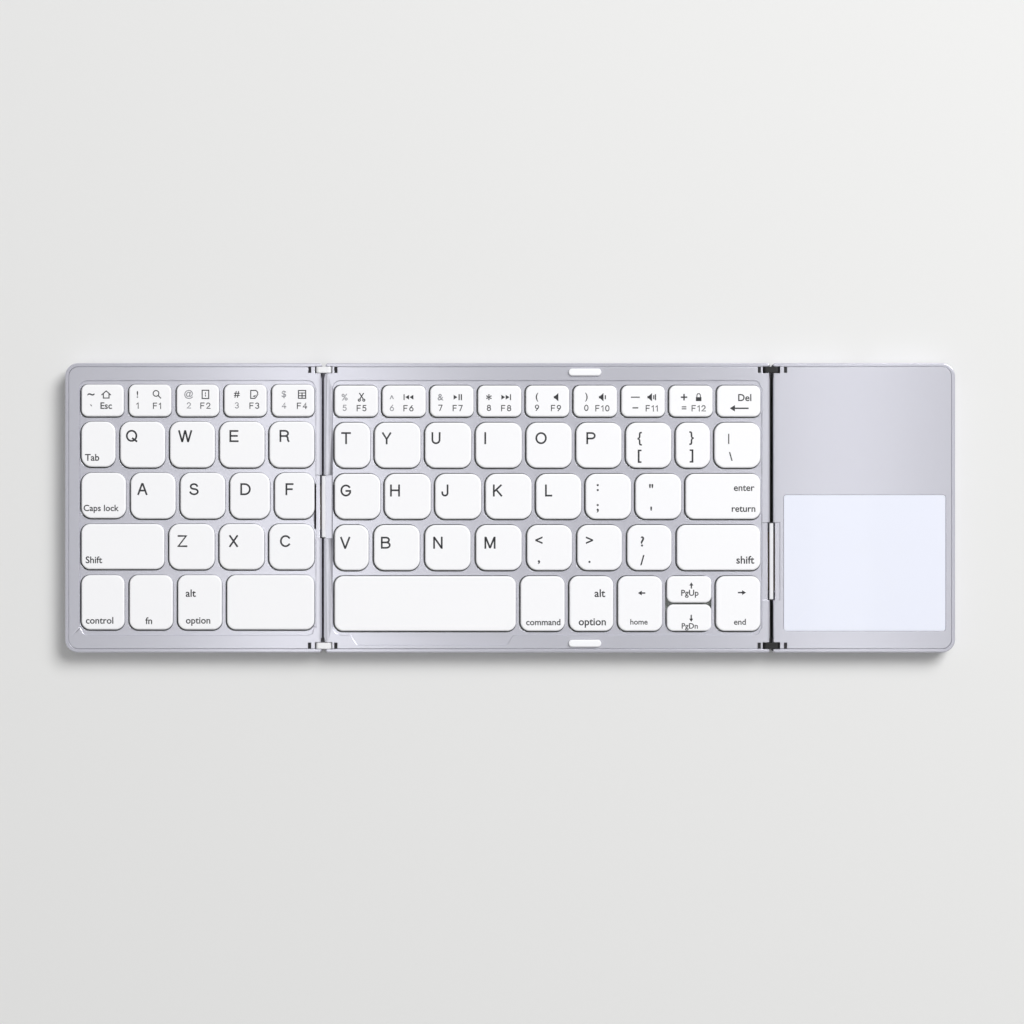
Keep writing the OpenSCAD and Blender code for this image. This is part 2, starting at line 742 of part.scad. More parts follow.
module pad_sockets() {
    for (y = [-pad_y, pad_y]) translate([pad_x, y, deck_z - pad_in])
        linear_extrude(pad_in + 1) stadium(pad_len + 2 * pad_fit, pad_w + 2 * pad_fit);
}

module middle_frame() {
    color(silver) difference() {
        frame_slab(1);
        recess(1);
        key_openings(1);
        thumb_scoop();
        pad_sockets();
    }
}

module left_frame() {
    color(silver) difference() {
        frame_slab(0);
        recess(0);
        key_openings(0);
    }
}

module right_frame() {
    b = inner_box(2, rim_t + under_border, under_border);
    color(silver) difference() {
        frame_slab(2);
        difference() {
            translate([0, 0, seat_z - 1]) linear_extrude(deck_t - plain_t + 1)
                round_rect(b, under_r, under_r);
            at_feet(2) cylinder(h = deck_z, d = post_dia + 1.2);
        }
        socket_room();
        translate([0, 0, deck_z - touch_t]) linear_extrude(deck_t)
            round_rect(grown(touch_box, touch_fit), touch_r + touch_fit, touch_r + touch_fit);
        translate([0, 0, seat_z - 1]) linear_extrude(far)
            round_rect(grown(touch_box, -touch_ledge), under_r, under_r);
    }
}

// Key plates, membranes and lifts

function plate_box(p) = grown(field(p), plate_edge);

module key_plate(p) {
    color(steel) translate([0, 0, plate_z]) linear_extrude(plate_t)
        round_rect(plate_box(p), 1.5, 1.5);
}

module membrane(p) {
    color([0.85, 0.87, 0.84]) translate([0, 0, plate_z + plate_t]) linear_extrude(membrane_t)
        round_rect(plate_box(p), 1, 1);
}

module middle_key_plate() { key_plate(1); }
module left_key_plate() { key_plate(0); }
module middle_membrane() { membrane(1); }
module left_membrane() { membrane(0); }

// Depth and width of a lift that fits under a key, and of the dome that fits inside it. A wide
// key has two lifts.
function is_wide(b) = box_w(b) > wide_key;
function lift_d(b) = min(lift_d_max, box_d(b) - 2 * (cap_wall + lift_side));
function lift_w(b) = let (room = box_w(b) - 2 * (cap_wall + lift_side))
    min(lift_w_max, is_wide(b) ? (room - lift_side) / 2 : room);
function dome_dia(b) = min(
    lift_d(b) - 2 * (2 * bar_t + bar_gap + dome_fit),
    lift_w(b) - lift_nest - 2 * (foot_step / 2 + dome_fit)
);
function lift_offset(b) = is_wide(b)
    ? min(wide_lift * box_w(b), box_w(b) / 2 - cap_wall - lift_side - lift_w(b) / 2) : 0;
function lift_places(b) = is_wide(b)
    ? [box_x(b) - lift_offset(b), box_x(b) + lift_offset(b)] : [box_x(b)];

module dome(d) {
    h = lift_h - lift_clear;
    neck = d * dome_neck;
    foot = d / 2 - dome_rim;
    under = h - dome_plunger - dome_skin / 4;
    rotate_extrude() polygon([
        [d / 2, 0], [d / 2, dome_edge], [foot, dome_edge], [neck, h - dome_plunger], [neck, h],
        [0, h], [0, under], [neck - dome_skin, under - dome_skin], [foot - dome_skin, 0]
    ]);
}

// One frame of a lift: two side bars that climb along X, and a cross bar at each end
module lift_frame(w, d, rise) {
    h = lift_h - lift_clear;
    low = rise > 0 ? -w / 2 : w / 2;
    step = rise * foot_step;
    for (s = [-1, 1]) {
        y = s * (d - bar_t) / 2;
        along_y(y - bar_t / 2, y + bar_t / 2) polygon([
            [low, 0], [low + step, 0], [-low, h - bar_t], [-low, h], [-low - step, h], [low, bar_t]
        ]);
    }
    block(min(low, low + step / 2), max(low, low + step / 2), -d / 2, d / 2, 0, bar_t);
    block(min(-low, -low - step / 2), max(-low, -low - step / 2), -d / 2, d / 2, h - bar_t, h);
}

module lift(b) {
    for (x = lift_places(b)) translate([x, box_y(b), membrane_z]) {
        lift_frame(lift_w(b), lift_d(b), 1);
        lift_frame(lift_w(b) - lift_nest, lift_d(b) - 2 * (bar_t + bar_gap), -1);
    }
}

module lifts(p) {
    color(white) for (k = all_caps(p)) lift(k[0]);
}

module domes(p) {
    color([0.8, 0.8, 0.78]) for (k = all_caps(p)) for (x = lift_places(k[0]))
        translate([x, box_y(k[0]), membrane_z]) dome(dome_dia(k[0]));
}

module middle_domes() { domes(1); }
module left_domes() { domes(0); }
module middle_scissors() { lifts(1); }
module left_scissors() { lifts(0); }

// Keycaps

module cap(b, r) {
    inner = max(r - cap_wall, 0.5);
    difference() {
        slab(b, r, r, skirt_z, cap_z, 0, cap_bevel);
        translate([0, 0, skirt_z - 1]) linear_extrude(cap_z - cap_roof - skirt_z + 1)
            round_rect(grown(b, -cap_wall), inner, inner);
    }
}

module caps(p, r, first, last) {
    color(white) for (i = [first:last]) {
        b = key_box(p, r, i);
        cap(b, key_r(r, b));
    }
}

module left_number_keys() { caps(0, 0, 0, 4); }
module left_tab_key() { caps(0, 1, 0, 0); }
module left_upper_letter_keys() { caps(0, 1, 1, 4); }
module left_caps_key() { caps(0, 2, 0, 0); }
module left_home_letter_keys() { caps(0, 2, 1, 4); }
module left_shift_key() { caps(0, 3, 0, 0); }
module left_lower_letter_keys() { caps(0, 3, 1, 3); }
module left_modifier_keys() { caps(0, 4, 0, 2); }
module left_space_key() { caps(0, 4, 3, 3); }
module middle_number_keys() { caps(1, 0, 0, 7); }
module delete_key() { caps(1, 0, 8, 8); }
module middle_upper_letter_keys() { caps(1, 1, 0, 8); }
module middle_home_letter_keys() { caps(1, 2, 0, 6); }
module enter_key() { caps(1, 2, 7, 7); }
module middle_lower_letter_keys() { caps(1, 3, 0, 6); }
module right_shift_key() { caps(1, 3, 7, 7); }
module space_key() { caps(1, 4, 0, 0); }
module right_modifier_keys() { caps(1, 4, 1, 2); }
module left_arrow_key() { caps(1, 4, 3, 3); }
module up_arrow_key() { color(white) cap(up_box, number_r); }
module down_arrow_key() { color(white) cap(down_box, number_r); }
module right_arrow_key() { caps(1, 4, 5, 5); }

// Hinges

module bracket(p, g) {
    difference() {
        union() {
            block(bracket_wall_x(g), bracket_x1, bracket_y0, half_d - rim_t - ledge_w - bracket_fit,
                floor_z, floor_z + bracket_t);
            along_y(cheek_y0, cheek_y1) polygon([
                [bracket_wall_x(g), floor_z], [tab_x[p] + tab_t, floor_z],
                [tab_x[p] + tab_t, cheek_z1], [cheek_x0(g), cheek_z1],
                [cheek_x0(g), cheek_z0], [bracket_wall_x(g), cheek_z0]
            ]);
            along_x(tab_x[p], tab_x[p] + tab_t) polygon([
                [cheek_y1 - eps, floor_z], [half_d - rim_t - ledge_w - bracket_fit, floor_z],
                [half_d - rim_t - ledge_w - bracket_fit, cheek_z0 - 0.5],
                [link_y1 - bracket_fit, cheek_z0 - 0.5], [link_y1 - bracket_fit, tab_z1],
                [link_y0 + bracket_fit / 2, tab_z1], [link_y0 + bracket_fit / 2, cheek_z1],
                [cheek_y1 - eps, cheek_z1]
            ]);
        }
        translate([pin_x, cheek_y1 + 1, pin_z]) rotate([90, 0, 0])
            cylinder(h = cheek_t + 2, d = pin_dia + 2 * pin_fit);
        for (k = [0, 1]) translate([peg_x[k], peg_y[k], floor_z - 1])
            cylinder(h = bracket_t + 2, d = peg_dia + bracket_fit);
    }
}

module brackets(p) {
    color(black) for (h = hinges[p]) for (end = [-1, 1]) at_hinge(h, end) bracket(p, h[0]);
}

module links(h) {
    for (end = [-1, 1]) at_hinge(h, end) difference() {
        along_y(link_y0, link_y1) translate([0, pin_z])
            stadium(pin_pitch + 2 * pin_depth, 2 * pin_depth);
        for (s = [-1, 1]) translate([s * pin_x, link_y1 + 1, pin_z]) rotate([90, 0, 0])
            cylinder(h = link_w + 2, d = pin_dia);
    }
}

module hinge_pins(h) {
    color(steel) for (end = [-1, 1]) at_hinge(h, end) for (s = [-1, 1])
        translate([s * pin_x, pin_y1, pin_z]) rotate([90, 0, 0])
            cylinder(h = pin_y1 - pin_y0, d = pin_dia);
}

module middle_hinge_brackets() { brackets(1); }
module left_hinge_brackets() { brackets(0); }
module right_hinge_brackets() { brackets(2); }
module left_links() { color(steel) links([0, 1]); }
module right_links() { color(black) links([1, 1]); }
module left_hinge_pins() { hinge_pins([0, 1]); }
module right_hinge_pins() { hinge_pins([1, 1]); }

// Cables in the hinges

module cable_cover(g) {
    color(white) translate([gap_x[g], cover_y[g], pin_z]) difference() {
        linear_extrude(cover_h) square([cover_w, cover_len[g]], center = true);
        for (s = [-1, 1]) along_y(-cover_len[g], cover_len[g]) translate([s * cover_w / 2, cover_h])
            rotate(45) square(0.35, center = true);
    }
}

// A thin strip at the pins' height that drops behind them to z0 on the left and z1 on the right
module flex(g, z0, z1) {
    half = cover_len[g] / 2 - flex_spare / 2;
    a = flex_bend;
    b = a + flex_drop;
    c = b + flex_tail;
    t = flex_t;
    s = t / 2;
    color(amber) translate([gap_x[g], 0, 0]) along_y(cover_y[g] - half, cover_y[g] + half) polygon([
        [-c, z0], [-b + s, z0], [-a + s, flex_z], [a - s, flex_z], [b - s, z1], [c, z1],
        [c, z1 + t], [b + s, z1 + t], [a + s, flex_z + t], [-a - s, flex_z + t],
        [-b - s, z0 + t], [-c, z0 + t]
    ]);
}

module left_cable_cover() { cable_cover(0); }
module right_cable_cover() { cable_cover(1); }
module left_flex() { flex(0, membrane_z, membrane_z); }
module right_flex() { flex(1, membrane_z, board_z + board_t); }

// Feet, screws and pads

module feet(p) {
    color(rubber) at_feet(p) linear_extrude(foot_out + foot_in) foot_shape(0);
}

module screws(p) {
    color(steel) at_feet(p) {
        translate([0, 0, head_z]) cylinder(h = head_h, d = head_dia);
        translate([0, 0, head_z]) cylinder(h = screw_top - head_z, d = screw_dia);
    }
}

module middle_feet() { feet(1); }
module left_feet() { feet(0); }
module right_feet() { feet(2); }
module middle_screws() { screws(1); }
module left_screws() { screws(0); }
module right_screws() { screws(2); }

module bumper_pads() {
    color(white) for (y = [-pad_y, pad_y]) translate([pad_x, y, deck_z - pad_in])
        linear_extrude(pad_in + pad_out) stadium(pad_len, pad_w);
}

// Touchpad and electronics

module touchpad() {
    color([0.92, 0.94, 0.98]) translate([0, 0, deck_z - touch_t])
        linear_extrude(touch_t) round_rect(touch_box, touch_r, touch_r);
}

module touchpad_board() {
    color(green) translate([0, 0, deck_z - touch_t - sensor_t]) linear_extrude(sensor_t)
        round_rect(grown(touch_box, -touch_ledge - 0.3), 0.8, 0.8);
}

module main_board() {
    color(green) union() {
        translate([0, 0, board_z]) linear_extrude(board_t) union() {
            translate([board_x0, board_y0]) square([board_x1 - board_x0, board_d]);
            translate([board_x0, touch_box[1]]) square([arm_w, board_y1 - touch_box[1]]);
            translate([socket_x - tongue_w / 2, board_y0])
                square([tongue_w, socket_y1 - socket_len / 3 - board_y0]);
        }
        for (c = chips) translate([board_x0 + c[0] * (board_x1 - board_x0), board_y1 - c[1], board_z])
            linear_extrude(board_t + chip_h) square(c[2], center = true);
    }
}

module battery() {
    color([0.8, 0.8, 0.82]) translate([0, 0, floor_z]) linear_extrude(battery_t)
        round_rect(battery_box, 1.5, 1.5);
}

module charging_socket() {
    y0 = socket_y1 - socket_len;
    z0 = board_z + board_t;
    mouth_w = socket_w - 2 * socket_wall;
    mouth_h = socket_h - 2 * socket_wall;
    tongue = [0.7 * mouth_w, 0.3 * mouth_h];
    color(steel) translate([socket_x, 0, z0 + socket_h / 2]) union() {
        difference() {
            along_y(y0, socket_y1) square([socket_w, socket_h], center = true);
            along_y(y0 + socket_wall, socket_y1 + 1) square([mouth_w, mouth_h], center = true);
        }
        along_y(y0 + socket_wall / 2, socket_y1 - socket_len / 5) square(tongue, center = true);
    }
}

middle_base();
middle_frame();
middle_key_plate();
middle_membrane();
middle_domes();
middle_scissors();
bumper_pads();
middle_feet();
middle_screws();
middle_hinge_brackets();
left_base();
left_frame();
left_key_plate();
left_membrane();
left_domes();
left_scissors();
left_feet();
left_screws();
left_hinge_brackets();
right_base();
right_frame();
touchpad();
touchpad_board();
main_board();
battery();
charging_socket();
right_feet();
right_screws();
right_hinge_brackets();
left_links();
left_hinge_pins();
left_cable_cover();
left_flex();
right_links();
right_hinge_pins();
right_cable_cover();
right_flex();
left_number_keys();
left_tab_key();
left_upper_letter_keys();
left_caps_key();
left_home_letter_keys();
left_shift_key();
left_lower_letter_keys();
left_modifier_keys();
left_space_key();
middle_number_keys();
delete_key();
middle_upper_letter_keys();
middle_home_letter_keys();
enter_key();
middle_lower_letter_keys();
right_shift_key();
space_key();
right_modifier_keys();
left_arrow_key();
up_arrow_key();
down_arrow_key();
right_arrow_key();
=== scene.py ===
# Folding keyboard in three panels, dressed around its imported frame. Lengths in the
# dictionaries are in millimetres, and mm turns them into the scene's metres.
import json
import math

import bmesh
import bpy
from mathutils import Matrix, Vector

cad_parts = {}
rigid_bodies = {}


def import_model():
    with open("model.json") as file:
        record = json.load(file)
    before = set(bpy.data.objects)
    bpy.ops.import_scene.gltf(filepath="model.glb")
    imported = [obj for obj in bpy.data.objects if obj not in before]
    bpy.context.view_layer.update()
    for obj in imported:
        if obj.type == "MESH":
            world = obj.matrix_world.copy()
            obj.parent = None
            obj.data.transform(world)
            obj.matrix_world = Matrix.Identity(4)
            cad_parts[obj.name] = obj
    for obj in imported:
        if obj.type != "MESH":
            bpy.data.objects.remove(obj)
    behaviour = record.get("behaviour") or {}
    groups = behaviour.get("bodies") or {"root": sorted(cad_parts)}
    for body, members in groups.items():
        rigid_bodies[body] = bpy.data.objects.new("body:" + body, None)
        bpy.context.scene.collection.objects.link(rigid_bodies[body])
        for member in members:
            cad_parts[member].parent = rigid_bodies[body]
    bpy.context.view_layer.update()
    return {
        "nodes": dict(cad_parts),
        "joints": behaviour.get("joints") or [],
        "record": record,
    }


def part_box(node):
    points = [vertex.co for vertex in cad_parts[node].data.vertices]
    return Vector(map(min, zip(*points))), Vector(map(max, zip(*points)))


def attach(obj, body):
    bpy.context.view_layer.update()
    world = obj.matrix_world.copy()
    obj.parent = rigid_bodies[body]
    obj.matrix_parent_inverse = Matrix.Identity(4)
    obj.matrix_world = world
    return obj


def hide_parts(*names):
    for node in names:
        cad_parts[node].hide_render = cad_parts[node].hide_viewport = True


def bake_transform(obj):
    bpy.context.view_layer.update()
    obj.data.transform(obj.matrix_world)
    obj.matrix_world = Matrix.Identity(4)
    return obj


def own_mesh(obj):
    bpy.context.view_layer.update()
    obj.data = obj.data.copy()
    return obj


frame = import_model()
cadNodes = frame["nodes"]
scene = bpy.context.scene
mm = 0.001

bodyOf = {node: body for body, names in frame["record"]["behaviour"]["bodies"].items() for node in names}
slotOf = {part["node"]: part["material_slot"] for part in frame["record"]["subparts"]}
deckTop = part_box("middle_frame")[1].z


# The view: straight down on the open keyboard, through a long lens

view = {
    "middle": (0.63, -1.45),  # the point of the deck at the middle of the picture
    "height": 1000,  # above the deck
    "lens": 102.8,
    "sensor": 36,
}


def setCamera():
    data = bpy.data.cameras.new("overhead")
    data.lens = view["lens"]
    data.sensor_width = view["sensor"]
    data.clip_start = 0.01
    camera = bpy.data.objects.new("overhead", data)
    scene.collection.objects.link(camera)
    camera.location = (view["middle"][0] * mm, view["middle"][1] * mm, deckTop + view["height"] * mm)
    scene.camera = camera


setCamera()
print("camera set")


# Colours are written as they look on a screen, from 0 to 255

def tone(red, green, blue):
    parts = []
    for value in (red, green, blue):
        share = value / 255
        parts.append(share / 12.92 if share <= 0.04045 else ((share + 0.055) / 1.055) ** 2.4)
    return (*parts, 1.0)


# Shader effects that several finishes share

def newShaderGroup(name, sizes, outputs):
    tree = bpy.data.node_groups.new(name, "ShaderNodeTree")
    tree.interface.new_socket("Vector", in_out="INPUT", socket_type="NodeSocketVector")
    for label, value in sizes.items():
        socket = tree.interface.new_socket(label, in_out="INPUT", socket_type="NodeSocketFloat")
        socket.default_value = value
    for label in outputs:
        tree.interface.new_socket(label, in_out="OUTPUT", socket_type="NodeSocketFloat")
    return tree, tree.nodes.new("NodeGroupInput"), tree.nodes.new("NodeGroupOutput")


# A socket is fed by another node's output or by a plain value
def feed(tree, socket, value):
    if isinstance(value, bpy.types.NodeSocket):
        tree.links.new(value, socket)
    else:
        socket.default_value = value


def addNode(tree, kind, settings=None, **inputs):
    node = tree.nodes.new(kind)
    for name, value in (settings or {}).items():
        setattr(node, name, value)
    for name, value in inputs.items():
        feed(tree, node.inputs[name.replace("_", " ")], value)
    return node


def addMath(tree, operation, *values, clamp=False):
    node = tree.nodes.new("ShaderNodeMath")
    node.operation = operation
    node.use_clamp = clamp
    for socket, value in zip(node.inputs, values):
        feed(tree, socket, value)
    return node.outputs[0]


def mixTones(tree, mask, first, second):
    node = addNode(tree, "ShaderNodeMix", {"data_type": "RGBA"}, Factor=mask)
    feed(tree, node.inputs[6], first)
    feed(tree, node.inputs[7], second)
    return node.outputs[2]


# Fine grain of a mould or of paint, and a broad drift of tone
def buildGrain():
    tree, start, end = newShaderGroup("mouldGrain", {"Scale": 5000, "Drift": 30}, ["Height", "Tone"])
    fine = addNode(tree, "ShaderNodeTexNoise", Vector=start.outputs["Vector"],
                   Scale=start.outputs["Scale"], Detail=3.0, Roughness=0.6)
    cells = addNode(tree, "ShaderNodeTexVoronoi", Vector=start.outputs["Vector"],
                    Scale=start.outputs["Scale"])
    broad = addNode(tree, "ShaderNodeTexNoise", Vector=start.outputs["Vector"],
                    Scale=start.outputs["Drift"], Detail=2.0, Roughness=0.5)
    height = addMath(tree, "MULTIPLY_ADD", cells.outputs["Distance"], 0.5, fine.outputs["Fac"])
    mostly = addMath(tree, "MULTIPLY", broad.outputs["Fac"], 0.75)
    drift = addMath(tree, "MULTIPLY_ADD", fine.outputs["Fac"], 0.25, mostly)
    tree.links.new(height, end.inputs["Height"])
    tree.links.new(drift, end.inputs["Tone"])
    return tree


# Where convex edges have been rubbed
def buildWear():
    tree, start, end = newShaderGroup("edgeWear", {"Amount": 0.5}, ["Mask"])
    geometry = addNode(tree, "ShaderNodeNewGeometry")
    edges = addNode(tree, "ShaderNodeMapRange", Value=geometry.outputs["Pointiness"],
                    From_Min=0.51, From_Max=0.6)
    patches = addNode(tree, "ShaderNodeTexNoise", Vector=start.outputs["Vector"], Scale=220.0, Detail=3.0)
    broken = addNode(tree, "ShaderNodeMapRange", Value=patches.outputs["Fac"],
                     From_Min=0.38, From_Max=0.62)
    rubbed = addMath(tree, "MULTIPLY", edges.outputs["Result"], broken.outputs["Result"])
    mask = addMath(tree, "MULTIPLY", rubbed, start.outputs["Amount"], clamp=True)
    tree.links.new(mask, end.inputs["Mask"])
    return tree


# A thin veil of dust on faces that look up
def buildDust():
    tree, start, end = newShaderGroup("dustVeil", {"Amount": 0.1}, ["Mask"])
    geometry = addNode(tree, "ShaderNodeNewGeometry")
    split = addNode(tree, "ShaderNodeSeparateXYZ", Vector=geometry.outputs["Normal"])
    upward = addNode(tree, "ShaderNodeMapRange", Value=split.outputs["Z"], From_Min=0.5, From_Max=1.0)
    clouds = addNode(tree, "ShaderNodeTexNoise", Vector=start.outputs["Vector"], Scale=55.0,
                     Detail=6.0, Roughness=0.7)
    veil = addNode(tree, "ShaderNodeMapRange", Value=clouds.outputs["Fac"], From_Min=0.45, From_Max=0.75)
    settled = addMath(tree, "MULTIPLY", upward.outputs["Result"], veil.outputs["Result"])
    mask = addMath(tree, "MULTIPLY", settled, start.outputs["Amount"], clamp=True)
    tree.links.new(mask, end.inputs["Mask"])
    return tree


# Fine lines that run one way, as on brushed sheet or on a foil
def buildBrush():
    tree, start, end = newShaderGroup("brushLines", {"Scale": 9000, "Stretch": 0.03}, ["Height"])
    split = addNode(tree, "ShaderNodeSeparateXYZ", Vector=start.outputs["Vector"])
    along = addMath(tree, "MULTIPLY", split.outputs["Y"], start.outputs["Stretch"])
    joined = addNode(tree, "ShaderNodeCombineXYZ", X=split.outputs["X"], Y=along, Z=split.outputs["Z"])
    lines = addNode(tree, "ShaderNodeTexNoise", Vector=joined.outputs["Vector"],
                    Scale=start.outputs["Scale"], Detail=2.0)
    tree.links.new(lines.outputs["Fac"], end.inputs["Height"])
    return tree


grainGroup = buildGrain()
wearGroup = buildWear()
dustGroup = buildDust()
brushGroup = buildBrush()
print("shader groups built")


# Finishes, for the record's slots and the two inks. Base and drift are the two tones that the
# surface moves between, and wear is the tone of rubbed edges. What is left out is zero.

finishes = {
    "tray_silver": {"base": (215, 215, 226), "drift": (213, 213, 224), "metallic": 0.5,
                    "rough": (0.2, 0.21), "grain": 5200, "depth": 0.0015},
    "deck_silver": {"base": (220, 220, 230), "drift": (219, 219, 229), "metallic": 0.5,
                    "rough": (0.2, 0.205), "grain": 5200, "depth": 0.0015},
    "keycap_white": {"base": (254, 254, 255), "drift": (251, 251, 254), "wear": (255, 255, 255),
                     "worn": 0.25, "rough": (0.38, 0.46), "grain": 6400, "depth": 0.005, "dust": 0.01},
    "steel": {"base": (214, 215, 218), "drift": (186, 188, 192), "wear": (240, 240, 242), "worn": 0.5,
              "metallic": 0.9, "rough": (0.24, 0.36), "grain": 9000, "depth": 0.003, "dust": 0.02,
              "brush": 0.03},
    "link_steel": {"base": (250, 250, 252), "drift": (240, 241, 244), "wear": (255, 255, 255),
                   "worn": 0.4, "metallic": 0.15, "rough": (0.26, 0.36), "grain": 9000, "depth": 0.002,
                   "dust": 0.01, "brush": 0.03},
    "screw_steel": {"base": (178, 180, 184), "drift": (150, 151, 155), "wear": (214, 214, 216),
                    "worn": 0.6, "metallic": 0.95, "rough": (0.3, 0.42), "grain": 9000, "depth": 0.003,
                    "dust": 0.05, "brush": 0.2},
    "black_steel": {"base": (10, 10, 12), "drift": (17, 17, 20), "wear": (70, 70, 74), "worn": 0.2,
                    "rough": (0.5, 0.62), "grain": 7000, "depth": 0.004, "dust": 0.01},
    "membrane_film": {"base": (222, 228, 220), "drift": (208, 214, 206), "wear": (235, 238, 235),
                      "worn": 0.1, "rough": (0.22, 0.34), "grain": 3000, "depth": 0.002, "dust": 0.05,
                      "coat": 0.3},
    "dome_silicone": {"base": (222, 221, 214), "drift": (208, 207, 200), "wear": (236, 236, 230),
                      "worn": 0.1, "rough": (0.36, 0.5), "grain": 4000, "depth": 0.004, "dust": 0.08,
                      "scatter": 0.4},
    "lift_plastic": {"base": (236, 236, 234), "drift": (226, 226, 225), "wear": (246, 246, 246),
                     "worn": 0.2, "rough": (0.34, 0.46), "grain": 5000, "depth": 0.004, "dust": 0.05},
    "foot_rubber": {"base": (150, 150, 154), "drift": (136, 136, 141), "wear": (176, 176, 180),
                    "worn": 0.4, "rough": (0.7, 0.85), "grain": 3600, "depth": 0.02, "dust": 0.1},
    "pad_rubber": {"base": (254, 254, 255), "drift": (248, 249, 254), "wear": (255, 255, 255),
                   "worn": 0.2, "rough": (0.4, 0.5), "grain": 4200, "depth": 0.006},
    "touch_surface": {"base": (239, 242, 254), "drift": (236, 239, 252), "wear": (246, 247, 252),
                      "worn": 0.3, "rough": (0.28, 0.36), "grain": 9000, "depth": 0.002, "dust": 0.05,
                      "coat": 0.15},
    "board_green": {"base": (22, 92, 54), "drift": (16, 76, 46), "wear": (160, 140, 70), "worn": 0.2,
                    "rough": (0.25, 0.4), "grain": 2400, "depth": 0.006, "dust": 0.05, "coat": 0.3},
    "battery_foil": {"base": (196, 198, 203), "drift": (176, 178, 184), "wear": (226, 226, 230),
                     "worn": 0.3, "metallic": 0.8, "rough": (0.28, 0.46), "grain": 1600, "depth": 0.02,
                     "dust": 0.05},
    "cover_white": {"base": (240, 240, 243), "drift": (232, 232, 236), "wear": (250, 250, 252),
                    "worn": 0.3, "rough": (0.34, 0.46), "grain": 6000, "depth": 0.005, "dust": 0.04},
    # the flex film is a real part, coloured dark brown as painted shade, so that where it shows at the
    # hinge covers it stays dark
    "flex_film": {"base": (62, 46, 34), "drift": (46, 34, 26), "wear": (110, 84, 56), "worn": 0.2,
                  "rough": (0.3, 0.44), "grain": 2600, "depth": 0.003, "dust": 0.02, "coat": 0.4},
    "legend_ink": {"base": (46, 47, 51), "drift": (40, 41, 45), "wear": (90, 90, 94), "worn": 0.1,
                   "rough": (0.5, 0.62), "grain": 8000, "depth": 0.002},
    "pale_ink": {"base": (150, 151, 156), "drift": (144, 145, 150), "wear": (180, 180, 184),
                 "worn": 0.1, "rough": (0.5, 0.62), "grain": 8000, "depth": 0.002},
}
grainStrength = 0.35
dust = {"tone": (226, 224, 220), "dulls": 0.3}
scatterDepth = 0.001


def makeFinish(name, look):
    material = bpy.data.materials.new(name)
    material.use_nodes = True
    tree = material.node_tree
    tree.nodes.clear()
    output = tree.nodes.new("ShaderNodeOutputMaterial")
    shader = tree.nodes.new("ShaderNodeBsdfPrincipled")
    tree.links.new(shader.outputs["BSDF"], output.inputs["Surface"])
    place = tree.nodes.new("ShaderNodeTexCoord").outputs["Object"]
    grain = addNode(tree, "ShaderNodeGroup", {"node_tree": grainGroup}, Vector=place, Scale=look["grain"])
    wear = addNode(tree, "ShaderNodeGroup", {"node_tree": wearGroup}, Vector=place,
                   Amount=look.get("worn", 0.0))
    veil = addNode(tree, "ShaderNodeGroup", {"node_tree": dustGroup}, Vector=place,
                   Amount=look.get("dust", 0.0))
    toned = mixTones(tree, grain.outputs["Tone"], tone(*look["base"]), tone(*look["drift"]))
    rubbed = mixTones(tree, wear.outputs["Mask"], toned, tone(*look.get("wear", look["base"])))
    dusty = mixTones(tree, veil.outputs["Mask"], rubbed, tone(*dust["tone"]))
    tree.links.new(dusty, shader.inputs["Base Color"])
    smooth, dull = look["rough"]
    gloss = addNode(tree, "ShaderNodeMapRange", Value=grain.outputs["Tone"], To_Min=smooth, To_Max=dull)
    matt = addMath(tree, "MULTIPLY_ADD", veil.outputs["Mask"], dust["dulls"], gloss.outputs["Result"])
    tree.links.new(matt, shader.inputs["Roughness"])
    shader.inputs["Metallic"].default_value = look.get("metallic", 0.0)
    shader.inputs["Coat Weight"].default_value = look.get("coat", 0.0)
    shader.inputs["Subsurface Weight"].default_value = look.get("scatter", 0.0)
    shader.inputs["Subsurface Scale"].default_value = scatterDepth
    height = grain.outputs["Height"]
    if "brush" in look:
        brush = addNode(tree, "ShaderNodeGroup", {"node_tree": brushGroup}, Vector=place,
                        Stretch=look["brush"])
        height = brush.outputs["Height"]
    bump = addNode(tree, "ShaderNodeBump", Height=height, Distance=look["depth"] * mm,
                   Strength=grainStrength)
    tree.links.new(bump.outputs["Normal"], shader.inputs["Normal"])
    return material


materials = {name: makeFinish(name, look) for name, look in finishes.items()}
print("finishes:", len(materials))


# Helpers for pieces

weldGap = 2e-6
flatAngle = math.radians(0.6)  # faces this close are one flat
sharpAngle = math.radians(28)  # edges above this are rounded
smoothAngle = math.radians(35)  # and edges above this stay crisp in the shading
edgeSteps = 2
flatShare = 0.9


def newPiece(name, mesh, body, slot, material=None, stands=()):
    mesh.name = name
    piece = bpy.data.objects.new(name, mesh)
    scene.collection.objects.link(piece)
    mesh.materials.clear()
    mesh.materials.append(materials[material or slot])
    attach(piece, body)
    if stands:
        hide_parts(*stands)
    return piece


def smoothFaces(mesh):
    mesh.shade_smooth()
    mesh.set_sharp_from_angle(angle=smoothAngle)


def meshFrom(bm, name):
    mesh = bpy.data.meshes.new(name)
    bm.to_mesh(mesh)
    bm.free()
    return mesh


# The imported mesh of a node, joined up along its edges
def weldedNode(node):
    source = cadNodes[node].data
    bm = bmesh.new()
    for vertex in source.vertices:
        bm.verts.new(vertex.co)
    bm.verts.ensure_lookup_table()
    for polygon in source.polygons:
        try:
            bm.faces.new([bm.verts[index] for index in polygon.vertices])
        except ValueError:
            pass  # the same face is there already
    bmesh.ops.remove_doubles(bm, verts=bm.verts, dist=weldGap)
    bmesh.ops.dissolve_limit(bm, angle_limit=flatAngle, verts=bm.verts, edges=bm.edges)
    wide = [face for face in bm.faces if len(face.verts) > 4]
    bmesh.ops.triangulate(bm, faces=wide, ngon_method="BEAUTY")
    return bm


